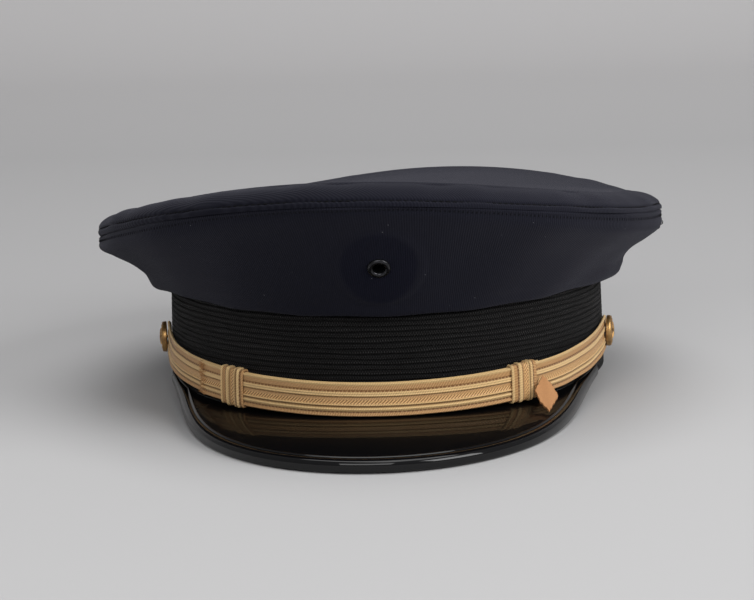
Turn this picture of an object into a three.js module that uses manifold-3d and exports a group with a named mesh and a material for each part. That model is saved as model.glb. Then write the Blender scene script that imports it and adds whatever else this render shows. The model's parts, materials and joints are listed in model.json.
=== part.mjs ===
// Military peaked cap: a stiff oval band with a ribbed braid, a wide soft crown on a wire hoop,
// a patent leather visor and a lace chin strap held by two side buttons.
// Millimetres. +Z is up and -Y is the front. The cap lies on a table, propped on its visor.
import * as THREE from "three";
import { mergeVertices } from "three/addons/utils/BufferGeometryUtils.js";
import Module from "manifold-3d";

const wasm = await Module();
wasm.setup();

// ---------------------------------------------------------------- driving dimensions
const STEPS = 48; // facets round the whole head oval
const GAP = 0.3; // between pieces that touch on the real cap

const HEAD = { halfWidth: 88, halfLength: 104.5, egg: 0.05 }; // an oval, narrower at the front
const MEAN_RADIUS = (HEAD.halfWidth + HEAD.halfLength) / 2;
const BAND = { height: 38.5, taper: 0.9, braid: 1.8, frame: 1.4 };
const BACK_SEAM = 179.7; // where the braid and the sweatband end
const SWEATBAND = { offset: -5.6, lean: 5, height: 44, thickness: 1.2 };
const SEAM_TAPE = { inner: -5.3, low: 0.4, high: 3.6, first: 82.5, last: 277.5 };
const BOW = { wing: 8, half: 4.2, knot: 1.4, thickness: 1.2, height: 38 };
const CLOTH = 1.2; // thickness of the crown's twill

const CROWN = {
  frontOverhang: 32, // how far the rim stands out past the band
  sideOverhang: 25.6,
  backOverhang: 20,
  meanRise: 27.4, // of the rim seam above the band
  frontLift: 9.2, // front higher than back
  saddle: 6, // front and back higher than the sides
  lean: 4, // the left rim sits higher than the right
  twist: -2.8, // and the front right higher than the front left
  shift: -1.4, // of the whole crown, towards the wearer's right
  backDrop: 0.8, // the back has sunk
  slump: 4, // and its left side has sunk further
  shoulderWidth: 13.5, // from the rim seam in to the top of the hoop
  shoulderRise: 7.2,
};
const HOOP_WIRE = 1.5; // radius

const VISOR = {
  endAngle: 74, // where it meets the band, measured round the head from the front
  reach: 51.5,
  root: 0.7, // how far its top lies under the band's foot
  endReach: 1.6,
  fullness: 2.1, // the lower, the squarer its outline
  fall: 8.8, // how far the edge would drop if the visor reached out for ever
  fallLength: 22, // the reach at which most of that drop is made
  endLift: 5,
  liftPower: 5, // the higher, the later the lift towards the ends begins
  skin: 0.6,
  core: 1.0,
  lining: 0.5,
  seat: 0.25, // clearance between the layers
  bindingWall: 0.6,
  bindingWidth: 3.4,
  tab: { height: 8, inner: -5.2, outer: -4.2, end: 50 }, // sewn in behind the band's frame
};

const STRAP = { width: 12.7, ply: 1.25, frontHeight: 6, standOff: 1.9, buttonStandOff: 0.4 };
const KEEPER = { angle: 38.4, halfLength: 6.2, wall: 0.95, clearance: 0.4 };
const TIP = {
  angle: 43.6, // where its upper corner touches the strap
  out: 5.7,
  height: 8.4,
  slope: 39.4, // it leans out over the visor
  turn: 9,
  thickness: 1.3,
  outline: [[0, 0], [-4.1, -7.1], [-3, -13], [0, -18.2], [4.6, -10.4], [2.9, -4.6]],
};
const BUTTON = { angle: 86, radius: 6.2, dome: 2.8, rightHeight: 15.4, leftHeight: 14.4 };
const SHANK = { hole: 1.9, wire: 0.45, eyeRadius: 1.1, bend: 1.3, clearance: 0.9 };
const SPLIT_RING = { radius: 2.5, tube: 0.4 };
const EYELET = { angle: 1.9, height: 56.5, barrel: 2.6, bore: 2.2, flange: 4.3, depth: 5.4, washer: 0.5 };
const LINING = { edge: -5, lift: -7, thickness: 0.5, shieldDrop: 0.9, shieldThickness: 0.4 };
const BADGE_PATCH = { radius: 16, thickness: 0.7 };

const TILT = THREE.MathUtils.degToRad(2.6); // the front is propped up by the visor

// ---------------------------------------------------------------- materials
const material = (color, roughness, metalness = 0) =>
  new THREE.MeshStandardMaterial({ color, roughness, metalness });

const NAVY_TWILL = material(0x1b1d2b, 0.9);
const BLACK_BRAID = material(0x0e0e0f, 0.85);
const PATENT = material(0x060607, 0.08);
const BLACK_LEATHER = material(0x111112, 0.35);
const GOLD_LACE = material(0xc79a5b, 0.5, 0.2);
const TAN_LEATHER = material(0xa9744a, 0.7);
const GILT = material(0x8a6536, 0.4, 0.8);
const BLACK_ENAMEL = material(0x18181a, 0.25, 0.6);
const STEEL = material(0x8d8f92, 0.35, 1);
const BUCKRAM = material(0xb9b09a, 0.95);
const SATIN = material(0x2c2f3d, 0.45);
const CELLULOID = material(0xe6ddc4, 0.15);
const RIBBON = material(0x151515, 0.5);

// ---------------------------------------------------------------- building tools
const radians = THREE.MathUtils.degToRad;
const lerp = THREE.MathUtils.lerp;

/** Angles in degrees from first to last, no further apart than the oval's facets. */
function anglesBetween(first, last) {
  const count = Math.max(1, Math.round((Math.abs(last - first) * STEPS) / 360));
  return Array.from({ length: count + 1 }, (_, i) => lerp(first, last, i / count));
}

const wholeTurn = Array.from({ length: STEPS }, (_, i) => -180 + (i * 360) / STEPS);

/** A point beside the band: angle from the front, distance outwards from the band, height. */
function beside(angle, out, z) {
  const [sin, cos] = [Math.sin(radians(angle)), Math.cos(radians(angle))];
  const x = (HEAD.halfWidth + out) * sin * (1 - HEAD.egg * cos);
  return new THREE.Vector3(x, -(HEAD.halfLength + out) * cos, z);
}

/** The level direction straight out of the band at an angle. */
function outwards(angle) {
  const [sin, cos] = [Math.sin(radians(angle)), Math.cos(radians(angle))];
  const across = HEAD.halfWidth * (cos - HEAD.egg * (cos ** 2 - sin ** 2));
  return new THREE.Vector3(HEAD.halfLength * sin, -across, 0).normalize();
}

/** A flat outline's triangles, whichever plane it lies in. */
function capTriangles(ring) {
  const normal = new THREE.Vector3();
  ring.forEach((p, i) => normal.add(p.clone().cross(ring[(i + 1) % ring.length])));
  normal.normalize();
  const side = Math.abs(normal.z) < 0.9 ? new THREE.Vector3(0, 0, 1) : new THREE.Vector3(1, 0, 0);
  const u = side.cross(normal).normalize();
  const v = normal.clone().cross(u);
  const flat = ring.map((p) => new THREE.Vector2(p.dot(u), p.dot(v)));
  return THREE.ShapeUtils.triangulateShape(flat, []);
}

/** A closed solid through a row of rings with equally many points. A loop joins its ends. */
function loft(rings, loop = false) {
  const size = rings[0].length;
  const index = [];
  const spans = loop ? rings.length : rings.length - 1;
  for (let i = 0; i < spans; i++) {
    const here = i * size;
    const next = ((i + 1) % rings.length) * size;
    for (let j = 0; j < size; j++) {
      const k = (j + 1) % size;
      index.push(here + j, next + j, next + k, here + j, next + k, here + k);
    }
  }
  if (!loop) {
    const last = (rings.length - 1) * size;
    for (const [a, b, c] of capTriangles(rings[0])) index.push(a, b, c);
    for (const [a, b, c] of capTriangles(rings[rings.length - 1]))
      index.push(last + a, last + c, last + b);
  }
  const geometry = new THREE.BufferGeometry().setFromPoints(rings.flat());
  geometry.setIndex(index);
  return facingOut(geometry);
}

/** Turns a closed geometry's faces outwards. */
function facingOut(geometry) {
  const p = geometry.attributes.position;
  const index = geometry.index.array;
  const [a, b, c] = [new THREE.Vector3(), new THREE.Vector3(), new THREE.Vector3()];
  let volume = 0;
  for (let i = 0; i < index.length; i += 3) {
    a.fromBufferAttribute(p, index[i]);
    b.fromBufferAttribute(p, index[i + 1]);
    c.fromBufferAttribute(p, index[i + 2]);
    volume += a.dot(b.cross(c));
  }
  if (volume < 0)
    for (let i = 0; i < index.length; i += 3)
      [index[i + 1], index[i + 2]] = [index[i + 2], index[i + 1]];
  return geometry;
}

/** Sweeps a section of [out, z] points round the band. */
const sweep = (angles, section, loop = false) =>
  loft(angles.map((angle) => section(angle).map(([out, z]) => beside(angle, out, z))), loop);

/** A three.js geometry as a manifold solid. */
function solid(geometry) {
  const bare = geometry.clone();
  for (const name of ["normal", "uv"]) bare.deleteAttribute(name);
  const merged = mergeVertices(bare, 1e-4);
  return new wasm.Manifold(
    new wasm.Mesh({
      numProp: 3,
      vertProperties: new Float32Array(merged.attributes.position.array),
      triVerts: new Uint32Array(merged.index.array),
    }),
  );
}

/** A manifold solid as a three.js geometry. */
function geometryOf(made) {
  const mesh = made.getMesh();
  const geometry = new THREE.BufferGeometry();
  geometry.setAttribute("position", new THREE.BufferAttribute(mesh.vertProperties, 3));
  geometry.setIndex(new THREE.BufferAttribute(mesh.triVerts, 1));
  return geometry;
}

/** The geometry with round holes through it, each given as {at, along, radius, length}. */
function drilled(geometry, ...holes) {
  let made = solid(geometry);
  for (const { at, along, radius, length } of holes) {
    const drill = new THREE.CylinderGeometry(radius, radius, length, 16);
    drill.applyQuaternion(
      new THREE.Quaternion().setFromUnitVectors(new THREE.Vector3(0, 1, 0), along),
    );
    drill.translate(at.x, at.y, at.z);
    made = made.subtract(solid(drill));
  }
  return geometryOf(made);
}

/** A ribbon's section: a rectangle across the given outs and heights. */
const slab = (inner, outer, low, high) => [
  [inner, low],
  [outer, low],
  [outer, high],
  [inner, high],
];

/** A line of [out, z] points moved square to itself, to its left-hand side. */
function moved(line, distance) {
  return line.map((p, i) => {
    const before = line[Math.max(0, i - 1)];
    const after = line[Math.min(line.length - 1, i + 1)];
    const along = new THREE.Vector2(after[0] - before[0], after[1] - before[1]).normalize();
    return [p[0] - along.y * distance, p[1] + along.x * distance];
  });
}

/** The section between a line moved by two distances, cut off level with the line's ends. */
function layer(line, near, far) {
  const [low, high] = [line[0][1], line[line.length - 1][1]];
  const level = ([out, z]) => [out, THREE.MathUtils.clamp(z, low, high)];
  return [...moved(line, near).map(level), ...moved(line, far).map(level).reverse()];
}

const cap = new THREE.Group();

function add(name, geometry, surface, place = null) {
  const mesh = new THREE.Mesh(geometry, surface);
  mesh.name = name;
  if (place) {
    mesh.position.copy(place.position);
    mesh.quaternion.copy(place.quaternion);
  }
  cap.add(mesh);
  return mesh;
}

// ---------------------------------------------------------------- band
/** How far the band's wall has leaned in at a height. */
const bandIn = (z) => (-BAND.taper * THREE.MathUtils.clamp(z, 0, BAND.height)) / BAND.height;

/** A wall that follows the band, between two distances behind its outer face. */
const bandWall = (inner, outer, low, high) => () => [
  [inner + bandIn(low), low],
  [outer + bandIn(low), low],
  [outer + bandIn(high), high],
  [inner + bandIn(high), high],
];

/** The button's place, its outward axis and the hole for its shank. */
function buttonSite(side) {
  const angle = side * BUTTON.angle;
  const height = side < 0 ? BUTTON.rightHeight : BUTTON.leftHeight;
  const at = beside(angle, bandIn(height), height);
  const along = outwards(angle);
  return { angle, height, at, along, hole: { at, along, radius: SHANK.hole, length: 14 } };
}
const RIGHT = buttonSite(-1);
const LEFT = buttonSite(1);

function addBand() {
  const round = anglesBetween(-BACK_SEAM, BACK_SEAM);
  const braid = sweep(round, bandWall(-BAND.braid, 0, 0, BAND.height));
  add("braid_band", drilled(braid, RIGHT.hole, LEFT.hole), BLACK_BRAID);

  const frameOut = -BAND.braid - GAP;
  const [frameFoot, frameHead] = [0.4, BAND.height - 1.1];
  const frameWall = bandWall(frameOut - BAND.frame, frameOut, frameFoot, frameHead);
  const frame = sweep(wholeTurn, frameWall, true);
  add("band_frame", drilled(frame, RIGHT.hole, LEFT.hole), BUCKRAM);

  const { offset, lean, height, thickness } = SWEATBAND;
  const sweat = () => [
    [offset - thickness, GAP],
    [offset, GAP],
    [offset - lean, height],
    [offset - lean - thickness, height],
  ];
  add("sweatband", sweep(round, sweat), TAN_LEATHER);

  const tapeOut = frameOut - BAND.frame - GAP;
  const { inner, low, high, first, last } = SEAM_TAPE;
  const tape = sweep(anglesBetween(first, last), () => slab(inner, tapeOut, low, high));
  add("sweatband_seam_tape", tape, RIBBON);
}

/** The small ribbon bow that joins the ends of the sweatband at the back. */
function addSweatbandBow() {
  const { wing, half, knot, thickness, height } = BOW;
  const bow = new THREE.Shape([
    new THREE.Vector2(-wing, -half),
    new THREE.Vector2(0, -knot),
    new THREE.Vector2(wing, -half),
    new THREE.Vector2(wing, half),
    new THREE.Vector2(0, knot),
    new THREE.Vector2(-wing, half),
  ]);
  const geometry = new THREE.ExtrudeGeometry(bow, { depth: thickness, bevelEnabled: false });
  geometry.rotateX(Math.PI / 2);
  const inside = HEAD.halfLength + SWEATBAND.offset - SWEATBAND.lean - SWEATBAND.thickness;
  geometry.translate(0, inside - 2 * GAP, height);
  add("sweatband_bow", geometry, RIBBON);
}

// ---------------------------------------------------------------- crown
/** How far the back of the crown has sunk at an angle: most at the back left. */
function sunk(angle) {
  const a = radians(angle);
  const behind = THREE.MathUtils.smoothstep(-Math.cos(a), -0.2, 0.35);
  return behind * (CROWN.backDrop + CROWN.slump * Math.max(Math.sin(a), 0) ** 1.5);
}

/** Height of the rim seam at an angle round the head. */
function rimHeight(angle) {
  const a = radians(angle);
  const level = CROWN.meanRise + CROWN.frontLift * Math.cos(a) + CROWN.lean * Math.sin(a);
  const bent = CROWN.saddle * Math.cos(2 * a) + CROWN.twist * Math.sin(2 * a);
  return BAND.height + level + bent - sunk(angle);
}

/** How far the rim stands out from the band at an angle. */
function rimOut(angle) {
  const [sin, cos] = [Math.sin(radians(angle)), Math.cos(radians(angle))];
  const end = cos > 0 ? CROWN.frontOverhang : CROWN.backOverhang;
  return lerp(CROWN.sideOverhang, end, cos ** 2) + CROWN.shift * sin;
}

// The crown's side wall, from the band to the rim seam, as shares of its overhang and rise.
const FRONT_PROFILE = [
  [0, 0], [0.1, 0.01], [0.19, 0.1], [0.33, 0.27], [0.52, 0.5], [0.74, 0.73], [0.92, 0.9], [1, 1],
];
const SIDE_PROFILE = [
  [0, 0], [0.14, 0.03], [0.26, 0.12], [0.4, 0.27], [0.6, 0.45], [0.81, 0.58], [1, 0.74], [1, 1],
];
const WALL_FOOT = BAND.height + GAP;

/** The outer line of the crown's side wall at an angle, as [out, z] points. */
function wallLine(angle) {
  const side = Math.sin(radians(angle)) ** 2;
  const rise = rimHeight(angle) - WALL_FOOT;
  const start = bandIn(BAND.height);
  return FRONT_PROFILE.map(([out, up], i) => [
    start + lerp(out, SIDE_PROFILE[i][0], side) * (rimOut(angle) - start),
    WALL_FOOT + lerp(up, SIDE_PROFILE[i][1], side) * rise,
  ]);
}

/** Where the eyelet's axis meets the front panel, and the axis itself. */
function eyeletSite() {
  const line = wallLine(EYELET.angle);
  const i = line.findIndex(([, z]) => z > EYELET.height);
  const [low, high] = [line[i - 1], line[i]];
  const share = (EYELET.height - low[1]) / (high[1] - low[1]);
  const at = beside(EYELET.angle, lerp(low[0], high[0], share), EYELET.height);
  const along = outwards(EYELET.angle).multiplyScalar(high[1] - low[1]);
  along.z = low[0] - high[0];
  along.normalize();
  return { at, along, hole: { at, along, radius: EYELET.barrel + GAP, length: 20 } };
}
const EYE = eyeletSite();

function addCrownWalls() {
  const seam = 90;
  const slit = 0.15; // half the width of a butted seam, in degrees
  const wall = (first, last) =>
    sweep(anglesBetween(first, last), (angle) => layer(wallLine(angle), 0, CLOTH));
  add("crown_front_panel", drilled(wall(-seam + slit, seam - slit), EYE.hole), NAVY_TWILL);
  add("crown_left_quarter", wall(seam + slit, 180 - slit), NAVY_TWILL);
  add("crown_right_quarter", wall(-180 + slit, -seam - slit), NAVY_TWILL);
}

/** A ring on the crown's top: inset from the rim seam, lifted above it. */
const topRing = (inset, lift) =>
  wholeTurn.map((angle) => beside(angle, rimOut(angle) - inset, rimHeight(angle) + lift));

/** A ring of cloth stretched inside an oval, at a share of the way out from the middle. */
function drumRing(share, edgeOut, lift) {
  const middle = BAND.height + CROWN.meanRise + lift;
  return wholeTurn.map((angle) => {
    const a = radians(angle);
    const rise =
      share * (CROWN.frontLift * Math.cos(a) + CROWN.lean * Math.sin(a)) +
      share ** 2 * (CROWN.saddle * Math.cos(2 * a) + CROWN.twist * Math.sin(2 * a)) -
      share ** 4 * sunk(angle);
    const p = beside(angle, edgeOut(angle), 0);
    return new THREE.Vector3(p.x * share, p.y * share, middle + rise);
  });
}

function addCrownTop() {
  const { shoulderWidth, shoulderRise } = CROWN;
  const shoulder = [0, 25, 50, 72, 90].map(radians);
  const arc = (width, rise, lift) =>
    shoulder.map((t) => topRing(shoulderWidth - width * Math.cos(t), lift + rise * Math.sin(t)));
  const drum = [0.85, 0.55, 0.25];
  const outside = arc(shoulderWidth, shoulderRise, GAP);
  const inside = arc(shoulderWidth - CLOTH, shoulderRise - CLOTH, GAP);
  const hoopOut = (angle) => rimOut(angle) - shoulderWidth;
  const top = GAP + shoulderRise;
  const rings = [
    ...drum.toReversed().map((share) => drumRing(share, hoopOut, top - CLOTH)),
    ...inside.toReversed(),
    ...outside,
    ...drum.map((share) => drumRing(share, hoopOut, top)),
  ];
  add("crown_top_panel", loft(rings), NAVY_TWILL);
}

/** A wire or cord of a given radius run all the way round, as a swept polygon. */
const cordRound = (radius, inset, lift, sides = 6) =>
  sweep(
    wholeTurn,
    (angle) =>
      Array.from({ length: sides }, (_, i) => [
        rimOut(angle) - inset + radius * Math.cos((i * 2 * Math.PI) / sides),
        rimHeight(angle) + lift + radius * Math.sin((i * 2 * Math.PI) / sides),
      ]),
    true,
  );

function addCrownInside() {
  const { shoulderWidth, shoulderRise } = CROWN;
  const hoopLift = shoulderRise - CLOTH - HOOP_WIRE - 0.2;
  add("crown_hoop", cordRound(HOOP_WIRE, shoulderWidth, hoopLift), STEEL);
  add("rim_seam_cord", cordRound(0.8, 2.6, 0.2), BLACK_BRAID);

  const patchDepth = CLOTH + GAP;
  const stayDepth = patchDepth + BADGE_PATCH.thickness + GAP;
  const stay = sweep(anglesBetween(-45, 45), (angle) =>
    layer(wallLine(angle).slice(1, -1), stayDepth, stayDepth + 1),
  );
  add("front_stay", drilled(stay, EYE.hole), BUCKRAM);

  const hoopFoot = [rimOut(0) - shoulderWidth, rimHeight(0) + hoopLift - HOOP_WIRE - 2 * GAP];
  const springLine = [[0, 50], [6, 61], [10.5, 73], hoopFoot];
  const spring = sweep(anglesBetween(-4, 4), () => layer(springLine, 0, 0.6));
  add("stay_spring", spring, STEEL);

  const { radius, thickness } = BADGE_PATCH;
  const sheet = sweep(anglesBetween(-20, 20), (angle) =>
    layer(wallLine(angle).slice(1, -1), patchDepth, patchDepth + thickness),
  );
  const cutter = new THREE.CylinderGeometry(radius, radius, 30, 24);
  cutter.applyQuaternion(
    new THREE.Quaternion().setFromUnitVectors(new THREE.Vector3(0, 1, 0), EYE.along),
  );
  cutter.translate(EYE.at.x, EYE.at.y, EYE.at.z);
  const patch = geometryOf(solid(sheet).intersect(solid(cutter)));
  add("badge_patch", drilled(patch, EYE.hole), BLACK_LEATHER);
}

/** Rings of [radius, height] turned about +Y into a closed solid of revolution. */
const turned = (points, segments = 24) => {
  const outline = points.map(([x, y]) => new THREE.Vector2(x, y));
  return new THREE.LatheGeometry(outline, segments);
};

/** A place for a turned piece: its +Y axis along a direction. */
function stood(at, along) {
  const place = new THREE.Object3D();
  place.position.copy(at);
  place.quaternion.setFromUnitVectors(new THREE.Vector3(0, 1, 0), along);
  return place;
}

function addBadgeEyelet() {
  const { barrel, bore, flange, depth, washer } = EYELET;
  const eyelet = turned([
    [bore, -depth],
    [barrel, -depth],
    [barrel, GAP],
    [flange, GAP],
    [flange, 0.8],
    [flange - 0.6, 1.2],
    [bore + 0.5, 1.2],
    [bore, 0.8],
    [bore, -depth],
  ]);
  add("badge_eyelet", eyelet, BLACK_ENAMEL, stood(EYE.at, EYE.along));
  const [washerBore, washerEdge] = [barrel + 0.2, barrel + 2.2];
  const plate = turned([
    [washerBore, -depth - washer],
    [washerEdge, -depth - washer],
    [washerEdge, -depth],
    [washerBore, -depth],
    [washerBore, -depth - washer],
  ]);
  add("eyelet_washer", plate, BLACK_ENAMEL, stood(EYE.at, EYE.along));
}

function addCrownLining() {
  const { edge, lift, thickness, shieldDrop, shieldThickness } = LINING;
  const liningRing = (share, height) => drumRing(share, () => edge, height);
  const [middle, between, rim] = [0.2, 0.62, 1];
  const discShares = [middle, between, rim];
  const disc = loft([
    ...discShares.map((share) => liningRing(share, lift - thickness)),
    ...discShares.toReversed().map((share) => liningRing(share, lift)),
  ]);
  add("lining_top", disc, SATIN);

  const foot = WALL_FOOT + 6.6; // just above the sweatband
  const sweatbandHead = SWEATBAND.offset - SWEATBAND.lean;
  const side = sweep(
    wholeTurn,
    (angle) => {
      const high = rimHeight(angle) + lift - thickness - 0.7;
      return [
        [sweatbandHead, foot],
        [sweatbandHead + 0.6, foot],
        [edge, high],
        [edge - 0.6, high],
      ];
    },
    true,
  );
  add("lining_side", side, SATIN);

  const shieldTop = lift - shieldDrop;
  const shield = loft([
    liningRing(middle, shieldTop - shieldThickness),
    liningRing(between, shieldTop - shieldThickness),
    liningRing(between, shieldTop),
    liningRing(middle, shieldTop),
  ]);
  add("sweat_shield", shield, CELLULOID);
}

// ---------------------------------------------------------------- visor
/** How far the visor stands out from the band at an angle. */
function visorReach(angle) {
  const share = Math.cos(radians((Math.min(Math.abs(angle), VISOR.endAngle) * 90) / VISOR.endAngle));
  return VISOR.endReach + (VISOR.reach - VISOR.endReach) * share ** VISOR.fullness;
}

/** Height of the visor's top surface, which curves down from its root to its edge. */
function visorTop(angle, out) {
  const { endAngle, root, endLift, liftPower, fall, fallLength } = VISOR;
  const reach = visorReach(angle);
  const edge = -GAP - fall * (1 - Math.exp(-reach / fallLength));
  const lift = endLift * (Math.abs(angle) / endAngle) ** liftPower;
  return lift + lerp(-root, edge, (Math.max(out, 0) / reach) ** 2);
}

/** A layer of the visor: its top lies `depth` under the visor's surface. */
function visorLayer(angle, depth, thickness, first, inset) {
  const last = visorReach(angle) - inset;
  const outs = [0, 0.12, 0.28, 0.5, 0.75, 1].map((t) => lerp(first, last, t));
  return [
    ...outs.map((out) => [out, visorTop(angle, out) - depth]),
    ...outs.toReversed().map((out) => [out, visorTop(angle, out) - depth - thickness]),
  ];
}

function addVisor() {
  const { endAngle, skin, core, lining, seat, bindingWall, bindingWidth, tab } = VISOR;
  const layerAngles = anglesBetween(-endAngle + 6, endAngle - 6);
  const inset = bindingWall + seat;
  const top = sweep(layerAngles, (angle) => visorLayer(angle, 0, skin, GAP, inset));
  add("visor_top_skin", top, PATENT);

  const coreDepth = skin + seat;
  const middle = sweep(layerAngles, (angle) => visorLayer(angle, coreDepth, core, GAP, inset));
  add("visor_core", middle, BUCKRAM);

  const liningDepth = coreDepth + core + seat;
  const lowest = (angle) => visorLayer(angle, liningDepth, lining, GAP, inset);
  const sheetUnder = sweep(layerAngles, lowest);
  const tabAngles = layerAngles.filter((angle) => Math.abs(angle) < tab.end);
  const sewnTab = sweep(tabAngles, (angle) => {
    const line = lowest(angle);
    const [rootTop, nextTop, nextUnder, rootUnder] = [line[0], line[1], line.at(-2), line.at(-1)];
    return [
      [tab.inner, rootUnder[1]],
      [tab.inner, tab.height],
      [tab.outer, tab.height],
      [tab.outer, rootTop[1]],
      rootTop,
      nextTop,
      nextUnder,
      rootUnder,
    ];
  });
  const under = geometryOf(solid(sheetUnder).add(solid(sewnTab)));
  add("visor_underside", under, BLACK_LEATHER);

  const stack = liningDepth + lining;
  const binding = sweep([-endAngle + 1.5, ...layerAngles, endAngle - 1.5], (angle) => {
    const reach = visorReach(angle);
    const lip = Math.max(reach - bindingWidth, GAP);
    const web = Math.max(reach - bindingWall, lip + 0.4);
    const top = (out) => visorTop(angle, out);
    return [
      [lip, top(lip) + seat],
      [web, top(web) + seat],
      [web, top(web) - stack - seat],
      [lip, top(lip) - stack - seat],
      [lip, top(lip) - stack - seat - bindingWall],
      [reach - 0.5, top(reach) - stack - seat - bindingWall],
      [reach + bindingWall, top(reach) - stack + 0.6],
      [reach + bindingWall, top(reach) - 0.3],
      [reach - 0.3, top(reach) + seat + bindingWall],
      [lip, top(lip) + seat + bindingWall],
    ];
  });
  add("visor_binding", binding, BLACK_LEATHER);
}

// ---------------------------------------------------------------- chin strap
/** Height of the strap's centre line at an angle. */
function strapHeight(angle) {
  const end = angle < 0 ? BUTTON.rightHeight : BUTTON.leftHeight;
  const share = Math.min(Math.abs(angle) / BUTTON.angle, 1);
  return lerp(STRAP.frontHeight, end, share ** 2);
}

/** How far the strap's back stands off the band: close at the buttons, clear of the keepers. */
function standOff(angle, ply) {
  const away = STRAP.standOff + ply * (STRAP.ply + GAP);
  const share = THREE.MathUtils.smoothstep(BUTTON.angle - 3 - Math.abs(angle), 0, 24);
  return lerp(STRAP.buttonStandOff, away, share);
}

/** A strap's section. Beyond the button its end is round. */
function strapSection(angle, ply) {
  const past = Math.max(0, Math.abs(angle) - BUTTON.angle) / 4.2;
  const half = (STRAP.width / 2) * Math.sqrt(Math.max(0.02, 1 - past ** 2));
  const z = strapHeight(angle);
  const inner = standOff(angle, ply);
  return bandWall(inner, inner + STRAP.ply, z - half, z + half)();
}

const fine = (first, last) => {
  const count = Math.round(Math.abs(last - first) / 3);
  return Array.from({ length: count + 1 }, (_, i) => lerp(first, last, i / count));
};

function addStraps() {
  const endAngles = [87.4, 88.8, 90.1];
  const lower = [...endAngles.toReversed().map((a) => -a), ...fine(-BUTTON.angle, KEEPER.angle + 5.6)];
  const upper = [...endAngles.toReversed(), ...fine(BUTTON.angle, -50)];
  const underStrap = sweep(lower, (angle) => strapSection(angle, 0));
  const overStrap = sweep(upper, (angle) => strapSection(angle, angle > 0 ? overPly(angle) : 1));
  add("chin_strap_under", drilled(underStrap, RIGHT.hole), GOLD_LACE);
  add("chin_strap_over", drilled(overStrap, LEFT.hole), GOLD_LACE);

  const outline = new THREE.Shape(TIP.outline.map(([x, y]) => new THREE.Vector2(x, y)));
  const tip = new THREE.ExtrudeGeometry(outline, { depth: TIP.thickness, bevelEnabled: false });
  const mesh = add("chin_strap_tip", tip, TAN_LEATHER);
  mesh.position.copy(beside(TIP.angle, TIP.out, TIP.height));
  mesh.rotation.set(radians(TIP.slope), 0, radians(TIP.turn), "ZYX");
}

/** The over strap lies on the under strap as far as its tip, and then comes in to the band. */
function overPly(angle) {
  return 1 - THREE.MathUtils.smoothstep(angle, 50, 62);
}

/** A loop round both plies: a square tube swept along the strap for the keeper's length. */
function addKeeper(name, side) {
  const middle = side * KEEPER.angle;
  const span = THREE.MathUtils.radToDeg(KEEPER.halfLength / MEAN_RADIUS);
  const { wall, clearance } = KEEPER;
  const box = (grow) => (angle) => {
    const z = strapHeight(angle);
    const half = STRAP.width / 2 + clearance + grow;
    const inner = standOff(angle, 0) - clearance - grow;
    const outer = standOff(angle, 1) + STRAP.ply + clearance + grow;
    return bandWall(inner, outer, z - half, z + half)();
  };
  const angles = [-1, -0.5, 0, 0.5, 1].map((t) => middle + t * span);
  const longer = angles.map((angle) => middle + (angle - middle) * 1.4);
  const loop = solid(sweep(angles, box(wall))).subtract(solid(sweep(longer, box(0))));
  add(name, geometryOf(loop), GOLD_LACE);
}

// ---------------------------------------------------------------- side buttons
function addButton(side, site) {
  const { radius, dome } = BUTTON;
  const seat = STRAP.buttonStandOff + STRAP.ply + 0.6; // the back of the button, out from the band
  const shell = turned([
    [0, seat + dome],
    [0, seat + dome - 0.5],
    [radius - 1.9, seat + dome - 1.1],
    [radius - 0.6, seat + 1.1],
    [radius - 0.6, seat],
    [radius, seat],
    [radius, seat + 1.3],
    [radius - 0.7, seat + 1.9],
    [radius - 2, seat + 2.2],
    [radius - 3.4, seat + dome - 0.1],
    [0, seat + dome],
  ]);
  add(`${side}_button_shell`, shell, GILT, stood(site.at, site.along));

  const [plateFront, plateBack, plateRadius] = [seat + 0.9, seat + 0.3, radius - 0.9];
  const backPlate = [
    [0, plateFront],
    [0, plateBack],
    [plateRadius, plateBack],
    [plateRadius, plateFront],
    [0, plateFront],
  ];
  const { wire, eyeRadius, bend, clearance } = SHANK;
  const depth = -BAND.braid - BAND.frame - 2 * GAP - clearance; // middle of the eye
  const leg = seat + 0.6;
  const route = new THREE.CurvePath();
  const corner = (x, y) => new THREE.Vector3(x, y, 0);
  route.add(new THREE.LineCurve3(corner(-eyeRadius, leg), corner(-eyeRadius, depth)));
  route.add(
    new THREE.CubicBezierCurve3(
      corner(-eyeRadius, depth),
      corner(-eyeRadius, depth - bend),
      corner(eyeRadius, depth - bend),
      corner(eyeRadius, depth),
    ),
  );
  route.add(new THREE.LineCurve3(corner(eyeRadius, depth), corner(eyeRadius, leg)));
  const round = new THREE.Shape();
  round.absarc(0, 0, wire, 0, 2 * Math.PI);
  const shank = new THREE.ExtrudeGeometry(round, {
    extrudePath: route,
    steps: 24,
    curveSegments: 4,
  });
  const joined = solid(turned(backPlate, 20)).add(solid(shank));
  add(`${side}_button_back`, geometryOf(joined), GILT, stood(site.at, site.along));

  const ring = new THREE.TorusGeometry(SPLIT_RING.radius, SPLIT_RING.tube, 6, 20);
  ring.rotateX(Math.PI / 2);
  ring.translate(SPLIT_RING.radius, depth + 0.1, 0);
  add(`${side}_split_ring`, ring, STEEL, stood(site.at, site.along));
}

// ---------------------------------------------------------------- assembly
addBand();
addSweatbandBow();
addCrownWalls();
addCrownTop();
addCrownInside();
addBadgeEyelet();
addCrownLining();
addVisor();
addStraps();
addKeeper("right_keeper", -1);
addKeeper("left_keeper", 1);
addButton("right", RIGHT);
addButton("left", LEFT);

// The cap leans back on its visor, with the middle of its box over the origin.
cap.rotation.x = -TILT;
const box = new THREE.Box3().setFromObject(cap, true);
const middle = box.getCenter(new THREE.Vector3());
cap.position.set(-middle.x, -middle.y, -box.min.z);

const scene = new THREE.Group();
scene.add(cap);
export default scene;
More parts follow.
